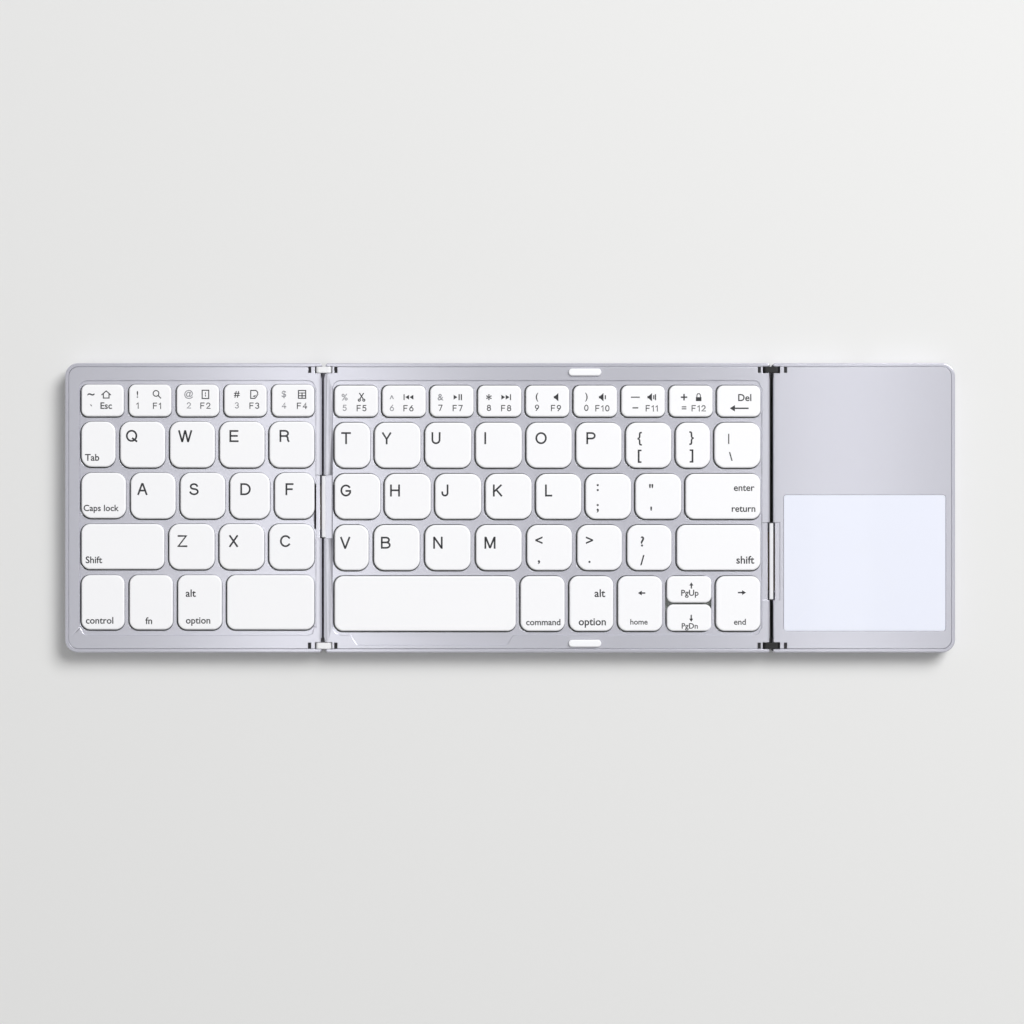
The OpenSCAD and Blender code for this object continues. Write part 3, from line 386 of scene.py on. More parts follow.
# The same with its sharp edges rounded by width
def softNode(node, width, fit=None):
    bm = weldedNode(node)
    if fit:
        fit(bm)
    edges = [edge for edge in bm.edges
             if len(edge.link_faces) == 2 and edge.calc_face_angle(0) > sharpAngle]
    rounded = bmesh.ops.bevel(bm, geom=edges, offset=width * mm, offset_type="OFFSET", segments=edgeSteps,
                              profile=0.5, affect="EDGES", clamp_overlap=False)
    normals = flatNormals(bm, set(rounded["faces"]))
    mesh = meshFrom(bm, node)
    smoothFaces(mesh)
    mesh.normals_split_custom_set_from_vertices(normals)
    return mesh


# Flats keep their own direction up to their rounded edges. A zero leaves a normal as it is.
def flatNormals(bm, rounded):
    normals = []
    for vertex in bm.verts:
        flats = [face for face in vertex.link_faces if face not in rounded]
        total = sum((face.normal * face.calc_area() for face in flats), Vector())
        even = total.length > flatShare * sum(face.calc_area() for face in flats)
        normals.append(total.normalized() if flats and even else Vector())
    return normals


def dressNode(name, node, width, fit=None, finish=None):
    return newPiece(name, softNode(node, width, fit), bodyOf[node], slotOf[node], finish, [node])


# The separate solids of a node, as boxes from left to right, then from front to rear
def solidBoxes(node):
    bm = weldedNode(node)
    boxes = [boxOf(island) for island in islandsOf(bm)]
    bm.free()
    return sorted(boxes, key=lambda box: (round(box[0].x, 4), box[0].y))


# A dictionary keeps its order, where a set would hand out the corners in another order each run
def islandsOf(bm):
    left = dict.fromkeys(bm.verts)
    islands = []
    while left:
        stack = [left.popitem()[0]]
        island = [stack[0]]
        while stack:
            for edge in stack.pop().link_edges:
                for vertex in edge.verts:
                    if vertex in left:
                        del left[vertex]
                        stack.append(vertex)
                        island.append(vertex)
        islands.append(island)
    return islands


def boxOf(vertices):
    return (Vector([min(vertex.co[axis] for vertex in vertices) for axis in range(3)]),
            Vector([max(vertex.co[axis] for vertex in vertices) for axis in range(3)]))


# Keys: their boxes at rest, and the panel that each one travels in. A trim takes a little off
# the front edge of a cap and its opening.

keyNodes = [node for node in slotOf if slotOf[node] == "keycap_white"]
keyBoxes = {node: solidBoxes(node) for node in keyNodes}
keyParents = {joint["child"]: joint["parent"] for joint in frame["joints"]}
frontTrim = {"left_tab_key": 0.25, "left_caps_key": 0.2, "left_shift_key": 0.25,
             "left_lower_letter_keys": 0.15, "left_modifier_keys": 0.4, "left_space_key": 0.4}


def panelOf(node):
    return keyParents[node].split("_")[0]


# Trays and deck frames, with every edge broken. In each key field the web stands a little higher
# than in the solid, and the lip at the left of the middle panel closes most of its gap. Caps and
# openings are shifted at their front left and rear right corners, by so much on each panel.

shifts = {
    "left": {"cap": ((0.2, 0.35), (-0.08, 0.38)), "opening": ((0, 0.24), (-0.28, 0.17))},
    "middle": {"cap": ((0.26, 0.26), (-0.06, 0.02)), "opening": ((0.05, 0.14), (-0.3, -0.08))},
}

shell = {"edge": 0.12, "web": 6.3, "webTop": 6.95, "near": 0.02, "opening": 0.45,
         "lip": -63.15, "lipOut": 0.65, "lipDeep": 0.8, "lipRuns": ((-44.6, -10.3), (11.1, 44.6)),
         # the walls of the right gap, and how near and how square a face must be to get the black of
         # painted shade
         "shadeWalls": (88.9, 89.8), "shadeReach": 0.12, "shadeFacing": 0.6,
         "closedHole": (-50.15, -45.8), "holeReach": 0.9}


def fitShell(bm):
    for vertex in bm.verts:
        x, y, z = vertex.co / mm
        if abs(z - shell["web"]) < shell["near"]:
            vertex.co.z = shell["webTop"] * mm
        along = any(low < y < high for low, high in shell["lipRuns"])
        if along and -shell["near"] < x - shell["lip"] < shell["lipDeep"]:
            vertex.co.x -= shell["lipOut"] * mm


def fitDeck(bm):
    fitShell(bm)
    margin = shell["opening"] * mm
    hole = Vector(shell["closedHole"])
    for vertex in bm.verts:
        if (vertex.co.xy / mm - hole).length < shell["holeReach"] and vertex.co.z / mm > shell["web"]:
            vertex.co.xy = hole * mm
    for node, boxes in keyBoxes.items():
        front, rear = shifts[panelOf(node)]["opening"]
        trim = frontTrim.get(node, 0)
        for low, high in boxes:
            middle = (low + high) / 2
            for vertex in bm.verts:
                x, y, z = vertex.co
                if low.x - margin < x < high.x + margin and low.y - margin < y < high.y + margin:
                    vertex.co.x += (front[0] if x < middle.x else rear[0]) * mm
                    vertex.co.y += (front[1] + trim if y < middle.y else rear[1]) * mm


# Painted shade: the walls inside the right gap are painted black to deepen the gap's darkness
def paintGapShade(piece):
    piece.data.materials.append(materials["black_steel"])
    reach = shell["shadeReach"] * mm
    for polygon in piece.data.polygons:
        near = any(abs(polygon.center.x - wall * mm) < reach for wall in shell["shadeWalls"])
        if near and abs(polygon.normal.x) > shell["shadeFacing"]:
            polygon.material_index = 1


def dressShells():
    for side in ("left", "middle", "right"):
        for name, node in ((side + "Tray", side + "_base"), (side + "Deck", side + "_frame")):
            piece = dressNode(name, node, shell["edge"], fitDeck if "frame" in node else fitShell)
            if side != "left":
                paintGapShade(piece)


dressShells()
print("trays and decks dressed")


# Geometry Nodes

def newGeometryTree(name, sizes):
    tree = bpy.data.node_groups.new(name, "GeometryNodeTree")
    tree.is_modifier = True
    tree.interface.new_socket("Geometry", in_out="INPUT", socket_type="NodeSocketGeometry")
    for label in sizes:
        tree.interface.new_socket(label, in_out="INPUT", socket_type="NodeSocketFloat")
    tree.interface.new_socket("Finish", in_out="INPUT", socket_type="NodeSocketMaterial")
    tree.interface.new_socket("Geometry", in_out="OUTPUT", socket_type="NodeSocketGeometry")
    return tree, tree.nodes.new("NodeGroupInput"), tree.nodes.new("NodeGroupOutput")


# Puts the shape on every point of the input, and ends the tree
def setOut(tree, start, end, shape):
    placed = addNode(tree, "GeometryNodeInstanceOnPoints", Points=start.outputs["Geometry"],
                     Instance=shape)
    real = addNode(tree, "GeometryNodeRealizeInstances", Geometry=placed.outputs["Instances"])
    painted = addNode(tree, "GeometryNodeSetMaterial", Geometry=real.outputs["Geometry"],
                      Material=start.outputs["Finish"])
    tree.links.new(painted.outputs["Geometry"], end.inputs["Geometry"])


# Runs a tree on a handful of points and hands back a plain mesh. Sizes are in millimetres.
def runTree(tree, places, sizes, finish):
    seed = bpy.data.meshes.new("seed")
    seed.from_pydata([tuple(place) for place in places], [], [])
    maker = bpy.data.objects.new("maker", seed)
    scene.collection.objects.link(maker)
    modifier = maker.modifiers.new("shape", "NODES")
    modifier.node_group = tree
    for item in tree.interface.items_tree:
        if item.item_type == "SOCKET" and item.in_out == "INPUT" and item.name in sizes:
            modifier[item.identifier] = sizes[item.name] * mm
        if item.item_type == "SOCKET" and item.name == "Finish":
            modifier[item.identifier] = materials[finish]
    bpy.context.view_layer.update()
    mesh = bpy.data.meshes.new_from_object(maker.evaluated_get(bpy.context.evaluated_depsgraph_get()))
    maker.modifiers.remove(modifier)
    bpy.data.objects.remove(maker)
    return mesh


# A slab with round corners and a rolled upper edge, hollow from below: keycaps, pads, feet,
# the touchpad. Its profile runs from the middle of the hollow, down its wall, round the lip,
# up the side and over the edge to the middle of the top.
capRows = {"around": 56, "arc": 5, "lip": 0.08, "land": 0.12, "solidWall": 0.3, "flatLeft": 0.01}


def buildCapTree():
    tree, start, end = newGeometryTree(
        "roundedCap", ["Width", "Depth", "Corner", "Foot", "Top", "Edge", "Wall", "Roof", "Lip", "Land"])
    size = start.outputs
    under = addMath(tree, "SUBTRACT", size["Top"], size["Roof"])
    insets = [size["Wall"], size["Wall"], size["Wall"], size["Lip"], 0.0]
    heights = [under, under, size["Foot"], size["Foot"], addMath(tree, "ADD", size["Foot"], size["Lip"])]
    for step in range(capRows["arc"] + 1):
        turn = math.pi / 2 * step / capRows["arc"]
        insets.append(addMath(tree, "MULTIPLY", size["Edge"], 1 - math.cos(turn)))
        heights.append(addMath(tree, "MULTIPLY_ADD", size["Edge"], math.sin(turn) - 1, size["Top"]))
    insets += [addMath(tree, "ADD", size["Edge"], size["Land"]), 0.0]
    heights += [size["Top"], size["Top"]]
    count = len(insets)
    keeps = [0.0] + [1.0] * (count - 2) + [0.0]

    grid = addNode(tree, "GeometryNodeMeshGrid", Vertices_X=capRows["around"] + 1, Vertices_Y=count)
    index = addNode(tree, "GeometryNodeInputIndex").outputs["Index"]
    row = addMath(tree, "MODULO", index, float(count))
    column = addMath(tree, "FLOOR", addMath(tree, "DIVIDE", index, float(count)))

    def pick(values):
        chooser = tree.nodes.new("GeometryNodeIndexSwitch")
        chooser.data_type = "FLOAT"
        for _ in range(count - 2):
            chooser.index_switch_items.new()
        tree.links.new(row, chooser.inputs["Index"])
        for number, value in enumerate(values):
            feed(tree, chooser.inputs[number + 1], value)
        return chooser.outputs[0]

    turn = addMath(tree, "MULTIPLY", addMath(tree, "ADD", column, 0.5), 2 * math.pi / capRows["around"])
    radius = addMath(tree, "SUBTRACT", size["Corner"], pick(insets))
    keep = pick(keeps)

    def across(length, direction):
        flat = addMath(tree, "SUBTRACT", addMath(tree, "MULTIPLY", length, 0.5), size["Corner"])
        straight = addMath(tree, "MULTIPLY", addMath(tree, "SIGN", direction), flat)
        return addMath(tree, "MULTIPLY", addMath(tree, "MULTIPLY_ADD", radius, direction, straight), keep)

    point = addNode(tree, "ShaderNodeCombineXYZ", X=across(size["Width"], addMath(tree, "COSINE", turn)),
                    Y=across(size["Depth"], addMath(tree, "SINE", turn)), Z=pick(heights))
    shaped = addNode(tree, "GeometryNodeSetPosition", Geometry=grid.outputs["Mesh"],
                     Position=point.outputs["Vector"])
    closed = addNode(tree, "GeometryNodeMergeByDistance", Geometry=shaped.outputs["Geometry"],
                     Distance=weldGap)
    setOut(tree, start, end, closed.outputs["Geometry"])
    return tree


capTree = buildCapTree()


def tidyMesh(mesh, flipped=False):
    if flipped:
        mesh.transform(Matrix.Diagonal((1, 1, -1, 1)))
    bm = bmesh.new()
    bm.from_mesh(mesh)
    bmesh.ops.remove_doubles(bm, verts=bm.verts, dist=weldGap)
    bmesh.ops.recalc_face_normals(bm, faces=bm.faces)
    bm.to_mesh(mesh)
    bm.free()
    smoothFaces(mesh)
    return mesh


# One mesh of rounded caps that fill the given boxes. Where no wall is given, they are solid.
def roundedCaps(boxes, corner, edge, finish, wall=None, roof=None, flipped=False):
    joined = bmesh.new()
    for low, high in boxes:
        if flipped:
            low, high = Vector((low.x, low.y, -high.z)), Vector((high.x, high.y, -low.z))
        size = (high - low) / mm
        roundest = min(size.x / 2 - capRows["flatLeft"], size.y / 2 - capRows["flatLeft"])
        sizes = {
            "Width": size.x, "Depth": size.y, "Corner": min(corner, roundest),
            "Foot": low.z / mm, "Top": high.z / mm, "Edge": edge, "Wall": wall or capRows["solidWall"],
            "Roof": roof or size.z, "Lip": capRows["lip"], "Land": capRows["land"],
        }
        place = ((low.x + high.x) / 2, (low.y + high.y) / 2, 0)
        mesh = runTree(capTree, [place], sizes, finish)
        joined.from_mesh(mesh)
        bpy.data.meshes.remove(mesh)
    return tidyMesh(meshFrom(joined, "caps"), flipped)


# Keycaps

keycap = {"edge": 0.5, "wall": 0.9, "roof": 1.0,
          "letterCorner": 3.6, "wideCorner": 3.0, "smallCorner": 2.2}
wideKeys = {"left_shift_key", "left_modifier_keys", "left_space_key", "enter_key", "right_shift_key",
            "space_key", "right_modifier_keys", "left_arrow_key", "right_arrow_key"}
smallKeys = {"left_number_keys", "middle_number_keys", "delete_key", "up_arrow_key", "down_arrow_key"}


def dressKeys():
    for node in keyNodes:
        front, rear = [Vector((*shift, 0)) * mm for shift in shifts[panelOf(node)]["cap"]]
        front.y += frontTrim.get(node, 0) * mm
        boxes = [(low + front, high + rear) for low, high in keyBoxes[node]]
        corner = keycap["letterCorner"]
        if node in wideKeys:
            corner = keycap["wideCorner"]
        if node in smallKeys:
            corner = keycap["smallCorner"]
        mesh = roundedCaps(boxes, corner, keycap["edge"], "keycap_white", keycap["wall"], keycap["roof"])
        newPiece("caps." + node, mesh, node, "keycap_white", stands=[node])


dressKeys()
print("keycaps:", sum(len(boxes) for boxes in keyBoxes.values()))


# Legends. A mark is a text or a drawn sign, the place of its middle on the cap, from the cap's
# rear left corner to the right and to the front, and its height. A place to the right below
# zero is measured from the right edge.

legend = {"word": 2.2, "letter": 4.1, "symbol": 2.15, "sign": 2.95, "pair": 3.3,
          "capShare": 0.682, "bold": 0.016, "rise": 0.012}
paleMarks = set("@2$34%5^6&")


def letters(text, places, front):
    return [[(letter, place, front, legend["letter"])] for letter, place in zip(text, places)]


# A number key: the shifted sign over the digit, and a drawn sign over a function name
def numberKey(upper, digit, left, sign, name, right, rear=3.05, front=6.8,
              tall=legend["symbol"], size=legend["sign"]):
    return [(upper, left, rear, tall), (digit, left, front, legend["symbol"]),
            (sign, right, rear, size), (name, right, front + 0.1, legend["symbol"])]


def pairKey(upper, lower, place, rear, front):
    return [(upper, place, rear, legend["pair"]), (lower, place, front, legend["pair"])]


middleRow = {"rear": 4.0, "front": 7.65}
legends = {
    "left_number_keys": [
        numberKey("~", "`", 3.5, "houseSign", "Esc", 8.7, tall=2.9),
        numberKey("!", "1", 3.1, "glassSign", "F1", 9.8),
        numberKey("@", "2", 4.35, "pageSign", "F2", 10.05),
        numberKey("#", "3", 4.5, "noteSign", "F3", 10.5),
        numberKey("$", "4", 4.3, "tableSign", "F4", 10.5),
    ],
    "left_tab_key": [[("Tab", 3.9, 11.9, legend["word"])]],
    "left_upper_letter_keys": letters("QWER", (4.15, 5.4, 5.1, 5.4), 4.6),
    "left_caps_key": [[("Caps lock", 7.0, 12.0, 2.05)]],
    "left_home_letter_keys": letters("ASDF", (4.2, 4.85, 5.5, 5.25), 5.25),
    "left_shift_key": [[("Shift", 4.5, 11.9, legend["word"])]],
    "left_lower_letter_keys": letters("ZXC", (4.7, 5.05, 5.7), 5.5),
    "left_modifier_keys": [
        [("control", 6.45, 15.1, legend["word"])],
        [("fn", 6.8, 15.2, legend["word"])],
        [("alt", 4.6, 5.8, 2.4), ("option", 7.1, 15.5, legend["word"])],
    ],
    "middle_number_keys": [
        numberKey("%", "5", 3.7, "cutSign", "F5", 9.5, **middleRow),
        numberKey("^", "6", 3.5, "backSign", "F6", 9.2, **middleRow),
        numberKey("&", "7", 3.8, "playSign", "F7", 9.7, **middleRow),
        numberKey("*", "8", 4.0, "forwardSign", "F8", 9.9, tall=3.0, **middleRow),
        numberKey("(", "9", 4.1, "quietSign", "F9", 10.6, size=3.4, **middleRow),
        numberKey(")", "0", 4.6, "softSign", "F10", 10.1, size=3.4, **middleRow),
        numberKey("longBar", "shortBar", 5.0, "loudSign", "F11", 10.6, size=3.4, **middleRow),
        numberKey("+", "=", 5.3, "lockSign", "F12", 10.3, tall=3.0, **middleRow),
    ],
    "delete_key": [[("Del", 9.7, 4.15, 2.3), ("longArrow", 7.8, 7.8, legend["sign"])]],
    "middle_upper_letter_keys": [
        *letters("TYUIOP", (4.2, 4.35, 4.0, 3.5, 5.25, 5.3), 5.3),
        pairKey("{", "[", 4.9, 5.5, 11.5), pairKey("}", "]", 5.6, 5.3, 11.4),
        [("|", 5.1, 5.55, 2.5), ("\\", 5.8, 11.55, 2.8)],
    ],
    "middle_home_letter_keys": [
        *letters("GHJKL", (4.1, 3.8, 3.6, 4.35, 4.55), 5.7),
        pairKey(":", ";", 4.4, 4.7, 11.8), pairKey("\"", "'", 5.6, 4.2, 11.9),
    ],
    "enter_key": [[("enter", -5.65, 4.9, legend["word"]), ("return", -5.85, 12.05, legend["word"])]],
    "middle_lower_letter_keys": [
        *letters("VBNM", (3.9, 4.3, 4.65, 5.05), 6.05),
        pairKey("<", ",", 4.3, 5.2, 12.7), pairKey(">", ".", 4.4, 5.2, 12.6),
        pairKey("?", "/", 5.4, 5.6, 12.0),
    ],
    "right_shift_key": [[("shift", -5.25, 11.9, 2.5)]],
    "right_modifier_keys": [
        [("command", 8.0, 15.7, 2.05)],
        [("alt", -4.65, 5.8, 2.55), ("option", -7.25, 16.0, 2.45)],
    ],
    "left_arrow_key": [[("leftArrow", 8.3, 5.75, 2.4), ("home", 7.4, 15.6, 1.8)]],
    "up_arrow_key": [[("upArrow", 8.6, 3.15, 2.2), ("PgUp", 8.1, 6.0, 1.95)]],
    "down_arrow_key": [[("downArrow", 8.55, 4.7, 2.2), ("PgDn", 8.05, 7.6, 1.8)]],
    "right_arrow_key": [[("rightArrow", 9.1, 5.6, 2.4), ("end", 8.4, 15.6, 1.95)]],
}

# Drawn signs, in a square from -0.5 to 0.5. A line is a list of points and a width, a ring is
# its middle, radius and width, and a fill is an outline.
thinLine = 0.12
barTop = 0.28
ringSteps = 24


def arrowSign(turn, length, head, stem):
    turned = Matrix.Rotation(math.radians(turn), 2)
    place = lambda points: [tuple(turned @ Vector(point)) for point in points]
    tip = length / 2
    return [("line", place([(-tip, 0), (tip - head / 2, 0)]), stem),
            ("fill", place([(tip, 0), (tip - head, head * 0.62), (tip - head, -head * 0.62)]))]


def boxSign(width, height):
    x, y = width / 2, height / 2
    return ("line", [(-x, -y), (x, -y), (x, y), (-x, y), (-x, -y)], thinLine)


def hornSign(waves):
    parts = [("fill", [(0.0, 0.42), (-0.34, 0.12), (-0.46, 0.12),
                       (-0.46, -0.12), (-0.34, -0.12), (0.0, -0.42)])]
    for wave in range(waves):
        reach = 0.18 + 0.17 * wave
        parts.append(("line", [(reach, 0.14 + 0.1 * wave), (reach, -0.14 - 0.1 * wave)], thinLine))
    return parts


def wedge(x, way):
    return ("fill", [(x, barTop), (x + way * 0.44, 0), (x, -barTop)])


def upright(x, width):
    return ("line", [(x, barTop), (x, -barTop)], width)


signs = {
    "houseSign": [("line", [(-0.5, -0.02), (0, 0.42), (0.5, -0.02)], thinLine),
                  ("line", [(-0.33, 0.04), (-0.33, -0.4), (0.33, -0.4), (0.33, 0.04)], thinLine)],
    "glassSign": [("ring", (-0.08, 0.08), 0.33, thinLine),
                  ("line", [(0.17, -0.17), (0.46, -0.46)], thinLine)],
    "pageSign": [boxSign(0.76, 0.96), ("line", [(0, 0.2), (0, 0.08)], 0.1),
                 ("line", [(0, -0.08), (0, -0.2)], 0.1)],
    "noteSign": [("line", [(0.1, -0.46), (-0.4, -0.46), (-0.4, 0.46), (0.2, 0.46), (0.4, 0.26), (0.4, 0.1)],
                  thinLine),
                 ("line", [(-0.1, -0.2), (0.42, -0.02), (0.2, -0.34), (-0.1, -0.2)], thinLine)],
    "tableSign": [boxSign(0.84, 0.9), ("line", [(-0.42, 0.16), (0.42, 0.16)], 0.1),
                  ("line", [(-0.42, -0.16), (0.42, -0.16)], thinLine),
                  ("line", [(0, 0.16), (0, -0.45)], thinLine)],
    "cutSign": [("line", [(-0.22, 0.46), (0.2, -0.2)], thinLine),
                ("line", [(0.22, 0.46), (-0.2, -0.2)], thinLine),
                ("ring", (-0.26, -0.32), 0.12, thinLine), ("ring", (0.26, -0.32), 0.12, thinLine)],
    "backSign": [upright(-0.58, thinLine), wedge(0.0, -1), wedge(0.5, -1)],
    "playSign": [wedge(-0.5, 1), upright(0.14, 0.14), upright(0.4, 0.14)],
    "forwardSign": [wedge(-0.5, 1), wedge(0.0, 1), upright(0.56, thinLine)],
    "quietSign": hornSign(0),
    "softSign": hornSign(1),
    "loudSign": hornSign(2),
    "lockSign": [("fill", [(-0.32, 0.02), (-0.32, -0.44), (0.32, -0.44), (0.32, 0.02)]),
                 ("line", [(-0.2, 0.02), (-0.2, 0.26), (-0.1, 0.42), (0.1, 0.42), (0.2, 0.26), (0.2, 0.02)],
                  0.1)],
    "longBar": [("line", [(-0.62, 0), (0.62, 0)], 0.18)],
    "shortBar": [("line", [(-0.36, 0), (0.36, 0)], 0.2)],
    "longArrow": arrowSign(180, 2.1, 0.6, 0.17),
    "leftArrow": arrowSign(180, 0.95, 0.55, 0.2),
    "rightArrow": arrowSign(0, 1.05, 0.55, 0.2),
    "upArrow": arrowSign(90, 0.86, 0.5, 0.2),
    "downArrow": arrowSign(-90, 1.0, 0.5, 0.2),
}


# The large letters and the digits, drawn with strokes of one width from 0 to 1 high. Six numbers
# are an arc: its middle, its two radii, and where it starts and ends in degrees.
stroke = 0.148
arcStep = 15
arcLeast = 4
ring = (0.47, 0.5, 0.47, 0.5, 90, 450)
letterStrokes = {
    "A": [[(0, 0), (0.36, 1), (0.44, 1), (0.8, 0)], [(0.12, 0.35), (0.67, 0.35)]],
    "B": [[(0, 0), (0, 1), (0.41, 1), (0.41, 0.765, 0.3, 0.235, 90, -90), (0, 0.53)],
          [(0.41, 0.53), (0.44, 0.265, 0.34, 0.265, 90, -90), (0, 0)]],
    "C": [[(0.46, 0.5, 0.46, 0.5, 40, 320)]],
    "D": [[(0, 0), (0, 1), (0.34, 1), (0.34, 0.5, 0.51, 0.5, 90, -90), (0, 0)]],
    "E": [[(0.7, 1), (0, 1), (0, 0), (0.72, 0)], [(0, 0.52), (0.64, 0.52)]],
    "F": [[(0.61, 1), (0, 1), (0, 0)], [(0, 0.5), (0.53, 0.5)]],
    "G": [[(0.45, 0.5, 0.45, 0.5, 42, 325), (0.87, 0.3), (0.87, 0.46), (0.5, 0.46)]],
    "H": [[(0, 0), (0, 1)], [(0.79, 0), (0.79, 1)], [(0, 0.52), (0.79, 0.52)]],
    "I": [[(0, 0), (0, 1)]],
    "J": [[(0.52, 1), (0.52, 0.26), (0.26, 0.26, 0.26, 0.26, 0, -180), (0, 0.32)]],
    "K": [[(0, 0), (0, 1)], [(0.69, 1), (0, 0.36)], [(0.24, 0.58), (0.73, 0)]],
    "L": [[(0, 1), (0, 0), (0.53, 0)]],
    "M": [[(0, 0), (0, 1), (0.05, 1), (0.43, 0.04), (0.48, 0.04), (0.87, 1), (0.91, 1), (0.91, 0)]],
    "N": [[(0, 0), (0, 1), (0.03, 1), (0.72, 0), (0.75, 0), (0.75, 1)]],
    "O": [[ring]],
    "P": [[(0, 0), (0, 1), (0.42, 1), (0.42, 0.73, 0.32, 0.27, 90, -90), (0, 0.46)]],
    "Q": [[ring], [(0.59, 0.24), (0.94, -0.02)]],
    "R": [[(0, 0), (0, 1), (0.44, 1), (0.44, 0.745, 0.31, 0.255, 90, -90), (0, 0.49)],
          [(0.44, 0.49), (0.46, 0.27, 0.26, 0.22, 80, 5), (0.73, 0.1), (0.79, 0)]],
    "S": [[(0.36, 0.76, 0.32, 0.24, 15, 240), (0.37, 0.26, 0.37, 0.26, 60, -165)]],
    "T": [[(0, 1), (0.77, 1)], [(0.39, 1), (0.39, 0)]],
    "U": [[(0, 1), (0, 0.33), (0.35, 0.33, 0.35, 0.33, 180, 360), (0.71, 1)]],
    "V": [[(0, 1), (0.38, 0), (0.42, 0), (0.8, 1)]],
    "W": [[(0, 1), (0.29, 0), (0.33, 0), (0.57, 1), (0.62, 1), (0.86, 0), (0.9, 0), (1.19, 1)]],
    "X": [[(0, 0), (0.7, 1)], [(0, 1), (0.7, 0)]],
    "Y": [[(0, 1), (0.37, 0.42), (0.73, 1)], [(0.37, 0.42), (0.37, 0)]],
    "Z": [[(0.02, 1), (0.76, 1), (0, 0), (0.79, 0)]],
    "0": [[(0.32, 0.5, 0.32, 0.5, 90, 450)]],
    "1": [[(0, 0.76), (0.26, 1), (0.26, 0)]],
    "2": [[(0.31, 0.7, 0.3, 0.3, 170, -35), (0, 0), (0.64, 0)]],
    "3": [[(0.29, 0.755, 0.28, 0.245, 150, -80), (0.3, 0.265, 0.31, 0.265, 80, -150)]],
    "4": [[(0.48, 0), (0.48, 1), (0, 0.28), (0.66, 0.28)]],
    "5": [[(0.56, 1), (0.1, 1), (0.05, 0.56), (0.29, 0.32, 0.31, 0.32, 110, -145)]],
    "6": [[(0.46, 1), (0.12, 0.6), (0, 0.32)], [(0.31, 0.31, 0.31, 0.31, 90, 450)]],
    "7": [[(0, 1), (0.62, 1), (0.2, 0)]],
    "8": [[(0.31, 0.76, 0.26, 0.24, 90, 450)], [(0.31, 0.27, 0.31, 0.27, 90, 450)]],
    "9": [[(0.31, 0.69, 0.31, 0.31, 90, 450)], [(0.62, 0.68), (0.5, 0.4), (0.16, 0)]],
}
spacing = 0.26


def strokePoints(marks):
    points = []
    for mark in marks:
        if len(mark) == 2:
            points.append(mark)
            continue
        x, y, wide, tall, start, end = mark
        count = max(arcLeast, round(abs(end - start) / arcStep))
        for step in range(count + 1):
            turn = math.radians(start + (end - start) * step / count)
            points.append((x + wide * math.cos(turn), y + tall * math.sin(turn)))
    return [(x * (1 - stroke), y * (1 - stroke)) for x, y in points]


# The strokes of a word, letter after letter
def strokeWord(text):
    parts = []
    start = 0
    for letter in text:
        lines = [strokePoints(marks) for marks in letterStrokes[letter]]
        low = min(x for line in lines for x, y in line)
        high = max(x for line in lines for x, y in line)
        parts += [("line", [(x - low + start, y) for x, y in line], stroke) for line in lines]
        start += high - low + stroke + spacing
    return parts


functionNames = ["F%d" % number for number in range(1, 13)]
signs.update({text: strokeWord(text) for text in [*letterStrokes, *functionNames]})


cornerReach = 0.6
pointGap = 1e-4  # points closer than this are one
closeGap = 1e-3  # and a line whose ends are closer than this is closed
layerStep = 0.04  # strokes that cross don't share a plane


# The two sides of a stroke along a line of points, square at its ends
def strokeSides(points, width):
    points = [Vector(point) for point in points]
    points = [point for number, point in enumerate(points)
              if not number or (point - points[number - 1]).length > pointGap]
    closed = (points[0] - points[-1]).length < closeGap
    sides = []
    for number, point in enumerate(points):
        before = points[number - 1] if number else (points[-2] if closed else None)
        after = points[number + 1] if number + 1 < len(points) else (points[1] if closed else None)
        inward = (point - before).normalized() if before else (after - point).normalized()
        outward = (after - point).normalized() if after else inward
        if not before:
            point = point - outward * width / 2
        if not after:
            point = point + inward * width / 2
        along = (inward + outward).normalized()
        across = Vector((-along.y, along.x)) * width / 2 / max(along.dot(inward), cornerReach)
        sides.append((point + across, point - across))
    return sides


def drawSign(parts):
    bm = bmesh.new()
    for number, part in enumerate(parts):
        flat = []

        def face(points):
            flat.append(bm.faces.new([bm.verts.new((*point, -1)) for point in points]))

        if part[0] == "fill":
            face(part[1])
        if part[0] == "ring":
            x, y = part[1]
            turns = [math.tau * step / ringSteps for step in range(ringSteps + 1)]
            radius = part[2]
            points = [(x + radius * math.cos(turn), y + radius * math.sin(turn)) for turn in turns]
            part = ("line", points, part[3])
        if part[0] == "line":
            sides = strokeSides(part[1], part[2])
            for (a, b), (c, d) in zip(sides, sides[1:]):
                face([a, b, d, c])
        corners = list(dict.fromkeys(vertex for shape in flat for vertex in shape.verts))
        bmesh.ops.remove_doubles(bm, verts=corners, dist=pointGap)
        flat = [shape for shape in bm.faces
                if not shape.tag and all(vertex.co.z == -1 for vertex in shape.verts)]
        rims = [edge for edge in dict.fromkeys(edge for shape in flat for edge in shape.edges)
                if len(edge.link_faces) == 1]
        tops = {corner: bm.verts.new((*corner.co.xy, 1 + layerStep * number))
                for corner in dict.fromkeys(corner for shape in flat for corner in shape.verts)}
        for shape in flat:
            bm.faces.new([tops[corner] for corner in shape.verts])
        for a, b in [edge.verts for edge in rims]:
            bm.faces.new((a, b, tops[b], tops[a]))
        for shape in bm.faces:
            shape.tag = True
    bmesh.ops.recalc_face_normals(bm, faces=bm.faces)
    return meshFrom(bm, "sign")


def makeScribe():
    words = bpy.data.curves.new("words", "FONT")
    words.extrude = 1
    words.offset = legend["bold"]
    words.resolution_u = 4
    scribe = bpy.data.objects.new("words", words)
    scene.collection.objects.link(scribe)
    return scribe


def drawText(scribe, text):
    scribe.data.body = text
    bpy.context.view_layer.update()
    return bpy.data.meshes.new_from_object(scribe)


